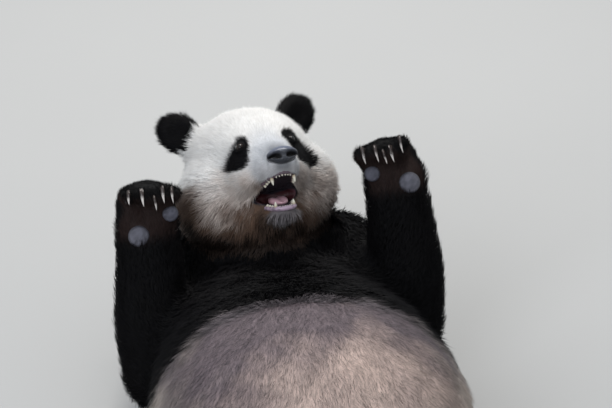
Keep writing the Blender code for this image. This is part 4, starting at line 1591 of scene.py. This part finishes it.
@dataclass
class Mouth:
    """Teeth, gums and tongue of the open mouth."""

    head: Head
    canine_half: dict[str, float] = field(default_factory=lambda: {"upper": 0.0225, "lower": 0.0185})
    canine_z: dict[str, float] = field(default_factory=lambda: {"upper": 0.158, "lower": 0.132})
    gum_inset: dict[str, float] = field(default_factory=lambda: {"upper": 0.0035, "lower": -0.0045})
    canine: dict[str, float] = field(default_factory=lambda: {"upper": 0.0150, "lower": 0.0120})
    incisor: dict[str, float] = field(default_factory=lambda: {"upper": 0.0048, "lower": 0.0036})
    cheek_tooth: float = 0.0046
    canine_radius: float = 0.0041
    incisor_radius: float = 0.0024
    cheek_radius: float = 0.0042
    gum_radius: float = 0.0056
    tongue_size: Triple = (0.0170, 0.0085, 0.0320)
    tongue_place: Triple = (0.0, 0.0022, 0.0940)
    tooth_root: Triple = (0.42, 0.33, 0.20)
    tooth_tip: Triple = (0.78, 0.74, 0.62)
    gum_upper: Triple = (0.10, 0.06, 0.075)
    gum_lower: Triple = (0.48, 0.35, 0.45)
    gum_spots: Triple = (0.13, 0.10, 0.13)
    tongue_front: Triple = (0.56, 0.33, 0.38)
    # The tongue's back tone is painted shade deeper in the mouth.
    tongue_back_shade: Triple = (0.30, 0.13, 0.15)

    def gum(self, jaw: str, x: float, z: float) -> float:
        """Height of the gum: it follows the roof's curve above and the flat of the jaw below.

        Args:
            jaw: Upper or lower.
            x: Place across the head.
            z: Place along the muzzle.

        Returns:
            Its height on that jaw.
        """
        if jaw == "upper":
            return max(self.head.mouth_top(x, z), self.head.mouth_roof - 0.006) + self.gum_inset[jaw]
        return self.gum_inset[jaw]

    def point(self, jaw: str, local: Triple) -> Array:
        """A place in the row frame from one on the upper or lower jaw."""
        return (self.head.out if jaw == "upper" else self.head.jaw_out)(np.array(local))

    def arc(self, jaw: str, share: float) -> tuple[float, float]:
        """Where the row of teeth runs.

        Args:
            jaw: Upper or lower.
            share: 0 in front, 1 at the canine and 3 at the last cheek tooth, below 0 on the right.

        Returns:
            Places across the head and along the muzzle.
        """
        half, canine_z = self.canine_half[jaw], self.canine_z[jaw]
        if abs(share) <= 1.0:
            return share * half * 0.98, canine_z + 0.0100 * (1.0 - share * share)
        back = abs(share) - 1.0
        return math.copysign(half + 0.0050 * back, share), canine_z - 0.024 * back

    def tooth(self, clay: bmesh.types.BMesh, jaw: str, share: float, height: float, radius: float) -> None:
        """Adds one tooth to the clay.

        Args:
            clay: The bmesh that holds the jaw's teeth.
            jaw: Upper or lower.
            share: Its place along the arc.
            height: Its height over the gum.
            radius: Its radius at the gum.
        """
        way = -1.0 if jaw == "upper" else 1.0
        x, z = self.arc(jaw, share)
        gum = self.gum(jaw, x, z)
        stations = []
        for part, wide in TOOTH_PROFILE:
            bend = 0.16 * height * max(part, 0.0) * (1.0 - 0.8 * max(part, 0.0))
            place = (x, gum + way * height * part, z + bend)
            stations.append((self.point(jaw, place), radius * wide))
        swept(clay, stations, self.head.axes[:, 0], 0.85, 10)

    def teeth(self, jaw: str) -> None:
        """Makes one row of teeth.

        Args:
            jaw: Upper or lower.
        """
        clay = bmesh.new()
        for sign in SIDES.values():
            self.tooth(clay, jaw, sign, self.canine[jaw], self.canine_radius)
            for number in range(3):
                share = sign * (0.14 + 0.25 * number)
                self.tooth(clay, jaw, share, self.incisor[jaw], self.incisor_radius)
            for number in range(3):
                share, height = sign * (1.45 + 0.38 * number), self.cheek_tooth + 0.0006 * number
                self.tooth(clay, jaw, share, height, self.cheek_radius)
        mesh = closed(clay, f"teeth_{jaw}")
        root, tip = np.array((self.tooth_root, self.tooth_tip))
        keep(mesh, "marking", blend(root[None], tip[None], ease(0.20, 0.65, along_of(mesh))))
        item = dressed_in(mesh, f"teeth_{jaw}", TOOTH)
        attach(item, "root")

    def ridge(self, jaw: str) -> None:
        """Makes the ridge of gum that one row of teeth grows from.

        Args:
            jaw: Upper or lower.
        """
        clay, stations = bmesh.new(), []
        way = -1.0 if jaw == "upper" else 1.0
        for share in np.linspace(-2.4, 2.4, 29):
            x, z = self.arc(jaw, float(share))
            place = (x, self.gum(jaw, x, z) - way * 0.0024, z)
            stations.append((self.point(jaw, place), self.gum_radius + 0.0006 * math.cos(share * 16.0)))
        swept(clay, stations, self.head.axes[:, 1], 0.85, 14)
        mesh = closed(clay, f"gum_{jaw}")
        points = places(mesh)
        fresh = np.tile(self.gum_upper if jaw == "upper" else self.gum_lower, (len(points), 1))
        spots = ease(0.3, 0.8, wobble(points, 0.018, 61)) * 0.7
        keep(mesh, "marking", blend(fresh, np.array(self.gum_spots)[None], spots))
        item = dressed_in(mesh, f"gum_{jaw}", FLESH)
        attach(item, "root")

    def tongue(self) -> None:
        """Makes the tongue, with a groove along its middle and painted shade towards its back, in place of
        its CAD node.
        """
        mesh, points = ball("tongue_flesh", 36)
        x, y, z = points.T
        groove = 0.35 * np.exp(-((x / 0.22) ** 2)) * ease(0.0, 0.6, y)
        y = y - groove + 0.25 * ease(0.2, 0.9, np.abs(x)) * (y > 0)
        local = np.stack([x, y, z], axis=1) * np.array(self.tongue_size) + np.array(self.tongue_place)
        put(mesh, self.head.jaw_out(local))
        front, back = np.array((self.tongue_front, self.tongue_back_shade))
        # Darker towards the back: painted shade.
        keep(mesh, "marking", blend(front[None], back[None], ease(0.5, -0.6, z) * 0.8))
        standing_for(dressed_in(mesh, "tongue_flesh", FLESH), Slot.TONGUE, "tongue")

    def build(self) -> None:
        """Makes everything in the mouth."""
        for jaw in ("upper", "lower"):
            self.teeth(jaw)
            self.ridge(jaw)
        self.tongue()


@dataclass
class Claws:
    """Curved claws, one sweep for each CAD claw."""

    sunk: float = 0.007
    shown: float = 0.98
    flat: float = 0.72
    limbs: dict[str, str] = field(default_factory=lambda: {"fore": "forepaw", "hind": "hindfoot"})
    radius: dict[str, float] = field(default_factory=lambda: {"fore": 0.0037, "hind": 0.0040})
    root_tone: Triple = (0.040, 0.028, 0.025)
    tip_tone: Triple = (0.60, 0.55, 0.52)

    @staticmethod
    def line(node: str) -> tuple[Array, Array, Array]:
        """The line of a CAD claw, whose root is its thicker end.

        Args:
            node: The claw's node.

        Returns:
            Root, middle and tip.
        """
        points = places(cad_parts[node].data)
        gaps = np.linalg.norm(points[:, None] - points[None], axis=2)
        length = gaps.max()
        ends = points[list(np.unravel_index(gaps.argmax(), gaps.shape))]

        def thickness(end: Array) -> float:
            """How far the claw's points near that end lie from their mean."""
            near = points[np.linalg.norm(points - end, axis=1) < 0.30 * length]
            return float(np.linalg.norm(near - near.mean(axis=0), axis=1).mean())

        tip = min(ends, key=thickness)
        away = np.linalg.norm(points - tip, axis=1) / length
        inner = points[(away > 0.30) & (away < 0.75)]
        root, end = points[away > 0.80].mean(axis=0), points[away < 0.08].mean(axis=0)
        return root, inner.mean(axis=0) if len(inner) else (root + end) / 2, end

    def of_paw(self, claw: str, side: str) -> None:
        """Makes the five claws of one paw, in place of their nodes.

        Args:
            claw: Fore or hind.
            side: Right or left.
        """
        radius, clay = self.radius[claw], bmesh.new()
        names = [f"claw_{claw}_{side}_{number}" for number in range(1, 6)]
        for name in names:
            root, middle, tip = self.line(name)
            back = root + unit(root - middle) * self.sunk
            inward = unit(middle_of(f"{self.limbs[claw]}_{side}") - back)
            control = 2.0 * middle - 0.5 * (root + tip)
            stations = [(back + inward * self.sunk, radius), (back, radius * 1.05)]
            for share in np.linspace(0.0, 1.0, 11):
                part = share * self.shown
                place = root * (1 - part) ** 2 + 2 * control * part * (1 - part) + tip * part**2
                stations.append((place, radius * (1.0 - 0.93 * share**1.7)))
            swept(clay, stations, np.cross(tip - root, control - root), self.flat, 14)
        mesh = closed(clay, f"claws_{claw}_{side}")
        dark, light = np.array((self.root_tone, self.tip_tone))
        keep(mesh, "marking", blend(dark[None], light[None], ease(0.30, 0.62, along_of(mesh))))
        standing_for(dressed_in(mesh, f"claws_{claw}_{side}", HORN), Slot.HORN, *names)

    def build(self) -> None:
        """Makes the claws of every paw."""
        for claw in self.limbs:
            for side in SIDES:
                self.of_paw(claw, side)


# Radii of the palm pads; half sizes of the others, and their steps from the claws.
CARPAL_RADIUS, THUMB_RADIUS = 0.0205, 0.0155
FORE_TOE, HIND_TOE, BROAD_PAD = (0.0075, 0.0060, 0.0055), (0.0105, 0.0125, 0.006), (0.048, 0.016, 0.009)
FORE_STEP, HIND_STEP, BROAD_STEP = (0.0, -0.005, -0.0180), (0.0, -0.024, -0.0040), (-0.002, -0.058, -0.014)


@dataclass
class Pads:
    """The bare pads of palms, soles and toes."""

    paws: dict[str, Paw]
    soles: dict[str, Sole]
    carpal_tone: Triple = (0.125, 0.124, 0.152)
    thumb_tone: Triple = (0.100, 0.100, 0.128)
    toe_tone: Triple = (0.026, 0.021, 0.023)

    @staticmethod
    def radius(node: str) -> float:
        """How wide a CAD pad is, from its middle."""
        return CARPAL_RADIUS if node.startswith("carpal") else THUMB_RADIUS

    @staticmethod
    def toe_pads(paws: dict[str, Paw], soles: dict[str, Sole]) -> list[tuple[Array, Array, Array]]:
        """The small pads under the toes, and the broad one behind the hind toes.

        Args:
            paws: The forepaws' axes.
            soles: The hind feet's axes.

        Returns:
            (middle, axes, half sizes) of each.
        """
        fore, hind, broad = (np.array(size) for size in (FORE_TOE, HIND_TOE, BROAD_PAD))
        fore_step, hind_step, broad_step = (np.array(step) for step in (FORE_STEP, HIND_STEP, BROAD_STEP))
        found = []
        for side in SIDES:
            paw, sole = paws[side], soles[side]
            for number in range(1, 6):
                claw = middle_of(f"claw_fore_{side}_{number}")
                found.append((claw + paw.axes @ fore_step, paw.axes, fore))
                claw = middle_of(f"claw_hind_{side}_{number}")
                found.append((claw + sole.axes @ hind_step, sole.axes, hind))
            found.append((sole.out(broad_step), sole.axes, broad))
        return found

    def pad(self, name: str, centre: Array, axes: Array, size: Array, tone: Triple) -> bpy.types.Mesh:
        """One pad: a dome with a soft edge, darker towards its rim as painted shade.

        Args:
            name: Its name.
            centre: Its middle.
            axes: Its turn, whose last column points out of the paw.
            size: Its half sizes across, along and out of the paw.
            tone: Its colour.

        Returns:
            Its mesh.
        """
        mesh, points = ball(name, 28)
        around = np.hypot(points[:, 0], points[:, 1])
        points[:, 2] = np.sign(points[:, 2]) * np.abs(points[:, 2]) ** 0.75
        placed = centre + (points * size) @ axes.T
        put(mesh, placed)
        worn = 1.0 + 0.18 * wobble(placed, 0.012, 71)
        # Darker towards the rim: painted shade where the pad meets the fur.
        rim = 1.0 - 0.45 * ease(0.75, 1.0, around)
        keep(mesh, "marking", np.array(tone)[None] * (worn * rim)[:, None])
        return mesh

    def build(self) -> None:
        """Makes the palm pads in place of their nodes, and the toe pads of every paw as one piece."""
        for side, paw in self.paws.items():
            for node, tone in (("carpal_pad_", self.carpal_tone), ("thumb_pad_", self.thumb_tone)):
                name = node + side
                radius = self.radius(name)
                size = np.array((radius, radius, radius * 0.60))
                mesh = self.pad("leather_" + name, middle_of(name), paw.axes, size, tone)
                standing_for(dressed_in(mesh, "leather_" + name, PAD), Slot.PAD, name)
        clay = bmesh.new()
        for centre, axes, size in self.toe_pads(self.paws, self.soles):
            loose = self.pad("toe", centre, axes, size, self.toe_tone)
            clay.from_mesh(loose)
            bpy.data.meshes.remove(loose)
        item = dressed_in(mesh_of(clay, "toe_pads"), "toe_pads", PAD)
        item.data.shade_smooth()
        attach(item, "root")


# --- Finishes -----------------------------------------------------------------------------------
VECTOR_SOCKET, COLOUR_SOCKET, NUMBER_SOCKET = "NodeSocketVector", "NodeSocketColor", "NodeSocketFloat"
WET_ROUGHNESS = 0.25


def group_of(name: str, inputs: dict[str, str], output: tuple[str, str]) -> bpy.types.NodeTree:
    """An empty node group with named sockets.

    Args:
        name: The group's name.
        inputs: Each input's name and kind.
        output: The output's name and kind.

    Returns:
        The group.
    """
    tree = bpy.data.node_groups.new(name, "ShaderNodeTree")
    for title, kind in inputs.items():
        tree.interface.new_socket(name=title, in_out="INPUT", socket_type=kind)
    tree.interface.new_socket(name=output[0], in_out="OUTPUT", socket_type=output[1])
    return tree


def mottle() -> bpy.types.NodeTree:
    """Colour that varies softly over a surface.

    Returns:
        The node group, made once.
    """
    if found := bpy.data.node_groups.get("mottle"):
        return found
    inputs = {"Place": VECTOR_SOCKET, "Colour": COLOUR_SOCKET}
    inputs |= dict.fromkeys(("Pitch", "Amount"), NUMBER_SOCKET)
    tree = group_of("mottle", inputs, ("Colour", COLOUR_SOCKET))
    take, give = tree.nodes.new("NodeGroupInput"), tree.nodes.new("NodeGroupOutput")
    noise = tree.nodes.new("ShaderNodeTexNoise")
    noise.inputs["Detail"].default_value = 3.0
    centre = tree.nodes.new("ShaderNodeMath")
    centre.operation = "SUBTRACT"
    centre.inputs[1].default_value = 0.5
    spread = tree.nodes.new("ShaderNodeMath")
    spread.operation = "MULTIPLY_ADD"
    spread.inputs[2].default_value = 1.0
    scale = tree.nodes.new("ShaderNodeVectorMath")
    scale.operation = "SCALE"
    for out, into in (
        (take.outputs["Place"], noise.inputs["Vector"]),
        (take.outputs["Pitch"], noise.inputs["Scale"]),
        (noise.outputs["Fac"], centre.inputs[0]),
        (centre.outputs[0], spread.inputs[0]),
        (take.outputs["Amount"], spread.inputs[1]),
        (take.outputs["Colour"], scale.inputs[0]),
        (spread.outputs[0], scale.inputs["Scale"]),
        (scale.outputs[0], give.inputs["Colour"]),
    ):
        tree.links.new(out, into)
    return tree


def relief() -> bpy.types.NodeTree:
    """Height of a fine grain over larger cells.

    Returns:
        The node group, made once.
    """
    if found := bpy.data.node_groups.get("relief"):
        return found
    inputs = {"Place": VECTOR_SOCKET} | dict.fromkeys(("Grain", "Cells", "Share"), NUMBER_SOCKET)
    tree = group_of("relief", inputs, ("Height", NUMBER_SOCKET))
    take, give = tree.nodes.new("NodeGroupInput"), tree.nodes.new("NodeGroupOutput")
    noise, cells = tree.nodes.new("ShaderNodeTexNoise"), tree.nodes.new("ShaderNodeTexVoronoi")
    noise.inputs["Detail"].default_value = 4.0
    total = tree.nodes.new("ShaderNodeMath")
    total.operation = "MULTIPLY_ADD"
    for out, into in (
        (take.outputs["Place"], noise.inputs["Vector"]),
        (take.outputs["Grain"], noise.inputs["Scale"]),
        (take.outputs["Place"], cells.inputs["Vector"]),
        (take.outputs["Cells"], cells.inputs["Scale"]),
        (cells.outputs["Distance"], total.inputs[0]),
        (take.outputs["Share"], total.inputs[1]),
        (noise.outputs["Fac"], total.inputs[2]),
        (total.outputs[0], give.inputs["Height"]),
    ):
        tree.links.new(out, into)
    return tree


@dataclass(frozen=True)
class Finish:
    """One finish: the piece's painted colour, mottled, over a fine relief.

    pitch and amount are the mottle's, grain, cells, share and bump the relief's, and wet names an
    attribute that makes the surface smoother.
    """

    name: str
    roughness: float
    specular: float = 0.5
    gloss: float = 0.0
    sheen: float = 0.0
    pitch: float = 40.0
    amount: float = 0.3
    grain: float = 600.0
    cells: float = 300.0
    share: float = 0.5
    bump: float = 0.0
    wet: str = ""
    colour: Triple | None = None

    def build(self) -> bpy.types.Material:
        """Makes the material, once.

        Returns:
            The material.
        """
        if found := bpy.data.materials.get(self.name):
            return found
        material = bpy.data.materials.new(self.name)
        material.use_nodes = True
        tree = material.node_tree
        shader = tree.nodes["Principled BSDF"]
        settings = {
            "Roughness": self.roughness, "Specular IOR Level": self.specular, "Coat Weight": self.gloss,
            "Coat Roughness": 0.04, "Sheen Weight": self.sheen, "Sheen Roughness": 0.5, "Metallic": 0.0,
        }
        for socket, value in settings.items():
            shader.inputs[socket].default_value = value
        place = tree.nodes.new("ShaderNodeTexCoord").outputs["Object"]
        vary = self.placed(tree, mottle(), {"Pitch": self.pitch, "Amount": self.amount}, place)
        if self.colour:
            vary.inputs["Colour"].default_value = (*self.colour, 1.0)
        else:
            paint = tree.nodes.new("ShaderNodeAttribute")
            paint.attribute_name = "marking"
            tree.links.new(paint.outputs["Color"], vary.inputs["Colour"])
        tree.links.new(vary.outputs["Colour"], shader.inputs["Base Color"])
        if self.bump:
            worked = {"Grain": self.grain, "Cells": self.cells, "Share": self.share}
            height = self.placed(tree, relief(), worked, place)
            bump = tree.nodes.new("ShaderNodeBump")
            bump.inputs["Distance"].default_value = self.bump
            tree.links.new(height.outputs["Height"], bump.inputs["Height"])
            tree.links.new(bump.outputs["Normal"], shader.inputs["Normal"])
        if self.wet:
            damp = tree.nodes.new("ShaderNodeAttribute")
            damp.attribute_name = self.wet
            smoother = tree.nodes.new("ShaderNodeMapRange")
            smoother.inputs["To Min"].default_value = self.roughness
            smoother.inputs["To Max"].default_value = WET_ROUGHNESS
            tree.links.new(damp.outputs["Fac"], smoother.inputs["Value"])
            tree.links.new(smoother.outputs["Result"], shader.inputs["Roughness"])
        return material

    @staticmethod
    def placed(tree: bpy.types.NodeTree, group: bpy.types.NodeTree, values: dict[str, float],
               place: bpy.types.NodeSocket) -> bpy.types.Node:
        """The group as a node of the material.

        Args:
            tree: The material's nodes.
            group: The group.
            values: Its numbers.
            place: Where its place comes from.

        Returns:
            The node.
        """
        node = tree.nodes.new("ShaderNodeGroup")
        node.node_tree = group
        tree.links.new(place, node.inputs["Place"])
        for name, value in values.items():
            node.inputs[name].default_value = value
        return node


PALE_COAT = Finish("pale_coat", 0.70, 0.25, sheen=0.10, pitch=55, amount=0.09)
BLACK_COAT = Finish("black_coat_fur", 0.60, 0.10, pitch=45, amount=0.5)
SKIN = Finish(
    "skin", 0.80, 0.30, pitch=70, amount=0.4, grain=900, cells=420, share=0.4, bump=0.0008, wet="wet"
)
NOSE_LEATHER = Finish(
    "nose_leather_moist", 0.42, 0.5, gloss=0.35, pitch=180, amount=0.5,
    grain=1800, cells=900, share=1.4, bump=0.0006,
)
EYE = Finish("eye_wet", 0.10, 0.15, gloss=0.9, pitch=400, amount=0.3)
TOOTH = Finish(
    "tooth_ivory", 0.28, 0.5, gloss=0.3, pitch=260, amount=0.3, grain=900, cells=300, share=0.1, bump=0.0001
)
FLESH = Finish(
    "flesh_moist", 0.30, 0.5, gloss=0.4, pitch=220, amount=0.4, grain=1500, cells=1100, share=0.8, bump=0.0003
)
HORN = Finish(
    "claw_ivory", 0.32, 0.5, gloss=0.2, pitch=320, amount=0.45, grain=700, cells=200, share=0.2, bump=0.0002
)
PAD = Finish("pad_cracked", 0.60, 0.4, pitch=140, amount=0.4, grain=1600, cells=750, share=1.2, bump=0.0007)
FLOOR = Finish("floor_pale", 0.75, 0.3, pitch=1.5, amount=0.05, colour=(0.47, 0.47, 0.465))


def dressed_in(mesh: bpy.types.Mesh, name: str, finish: Finish) -> bpy.types.Object:
    """An object at the origin.

    Args:
        mesh: Its mesh.
        name: Its name, and the mesh's.
        finish: Its finish.

    Returns:
        The object.
    """
    mesh.name = name
    mesh.materials.clear()
    mesh.materials.append(finish.build())
    return object_of(mesh)


def standing_for(item: bpy.types.Object, slot: Slot, *nodes: str) -> None:
    """Puts a piece on the root body, in place of its CAD nodes.

    Args:
        item: The piece.
        slot: Its material slot; not used.
        nodes: The CAD nodes that it replaces.
    """
    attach(item, "root")
    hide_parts(*nodes)
    LOG.info("%s: %d faces", item.name, len(item.data.polygons))


# --- Studio -------------------------------------------------------------------------------------
@dataclass
class Studio:
    """A pale floor, soft light from above and the camera."""

    head: Head
    azimuth: float = -7.0
    elevation: float = 34.0
    distance: float = 6.0
    lens: float = 181.0
    aim: Triple = (0.0953, -0.0430, -0.0461)
    lit: Triple = (0.0, 0.30, 0.25)
    floor_half: float = 30.0

    def floor(self) -> None:
        """The floor, a wide sheet under the animal."""
        clay = bmesh.new()
        bmesh.ops.create_grid(clay, x_segments=2, y_segments=2, size=self.floor_half)
        item = dressed_in(mesh_of(clay, "floor"), "floor", FLOOR)

    def camera(self) -> None:
        """The camera, aimed a little beside the head."""
        data = bpy.data.cameras.new("camera")
        data.lens, data.sensor_width = self.lens, 36.0
        data.clip_start, data.clip_end = 0.05, 100.0
        item = bpy.data.objects.new("camera", data)
        bpy.context.scene.collection.objects.link(item)
        turn, rise = math.radians(self.azimuth), math.radians(self.elevation)
        back = Vector((math.sin(turn) * math.cos(rise), -math.cos(turn) * math.cos(rise), math.sin(rise)))
        aim = Vector(self.head.centre) + Vector(self.aim)
        item.location = aim + back * self.distance
        item.rotation_euler = back.to_track_quat("Z", "Y").to_euler()
        bpy.context.scene.camera = item

    def lamp(self, name: str, place: Triple, size: float, power: float, tint: Triple) -> None:
        """One soft square light, aimed at the animal's chest.

        Args:
            name: Its name.
            place: Where it hangs.
            size: Length of its sides.
            power: Watts.
            tint: Its colour.
        """
        data = bpy.data.lights.new(name, "AREA")
        data.size, data.energy, data.color = size, power, tint
        item = bpy.data.objects.new(name, data)
        bpy.context.scene.collection.objects.link(item)
        item.location = place
        item.rotation_euler = (Vector(place) - Vector(self.lit)).to_track_quat("Z", "Y").to_euler()

    def light(self) -> None:
        """A large light above and behind the head, a weak one in front, and pale air."""
        self.lamp("top_light", (0.3, 2.3, 3.5), 1.6, 110.0, (1.0, 0.975, 0.94))
        self.lamp("front_light", (-2.1, -2.3, 3.3), 2.2, 74.0, (0.90, 0.94, 1.0))
        world = bpy.data.worlds.new("air")
        world.use_nodes = True
        shade = world.node_tree.nodes["Background"]
        shade.inputs["Color"].default_value = (0.90, 0.95, 1.0, 1.0)
        shade.inputs["Strength"].default_value = 0.56
        bpy.context.scene.world = world
        bpy.context.scene.view_settings.view_transform = "Standard"

    def build(self) -> None:
        """Makes floor, camera and lights."""
        self.floor()
        self.camera()
        self.light()


def main() -> None:
    """Builds the animal from the skin outwards, then the studio."""
    head = Head()
    paws = {side: Paw(side) for side in SIDES}
    soles = {side: Sole(side) for side in SIDES}
    skin = Skin(head, Coat(head, paws, soles), Markings(head, paws), Nearest())
    skin.made()
    skin.dressed()
    Tufts(skin).build()
    Nose(head).build()
    Eyes(skin).build()
    Mouth(head).build()
    Claws().build()
    Pads(paws, soles).build()
    Studio(head).build()


if __name__ == "__main__":
    logging.basicConfig(level=logging.INFO, format="%(message)s")
    main()
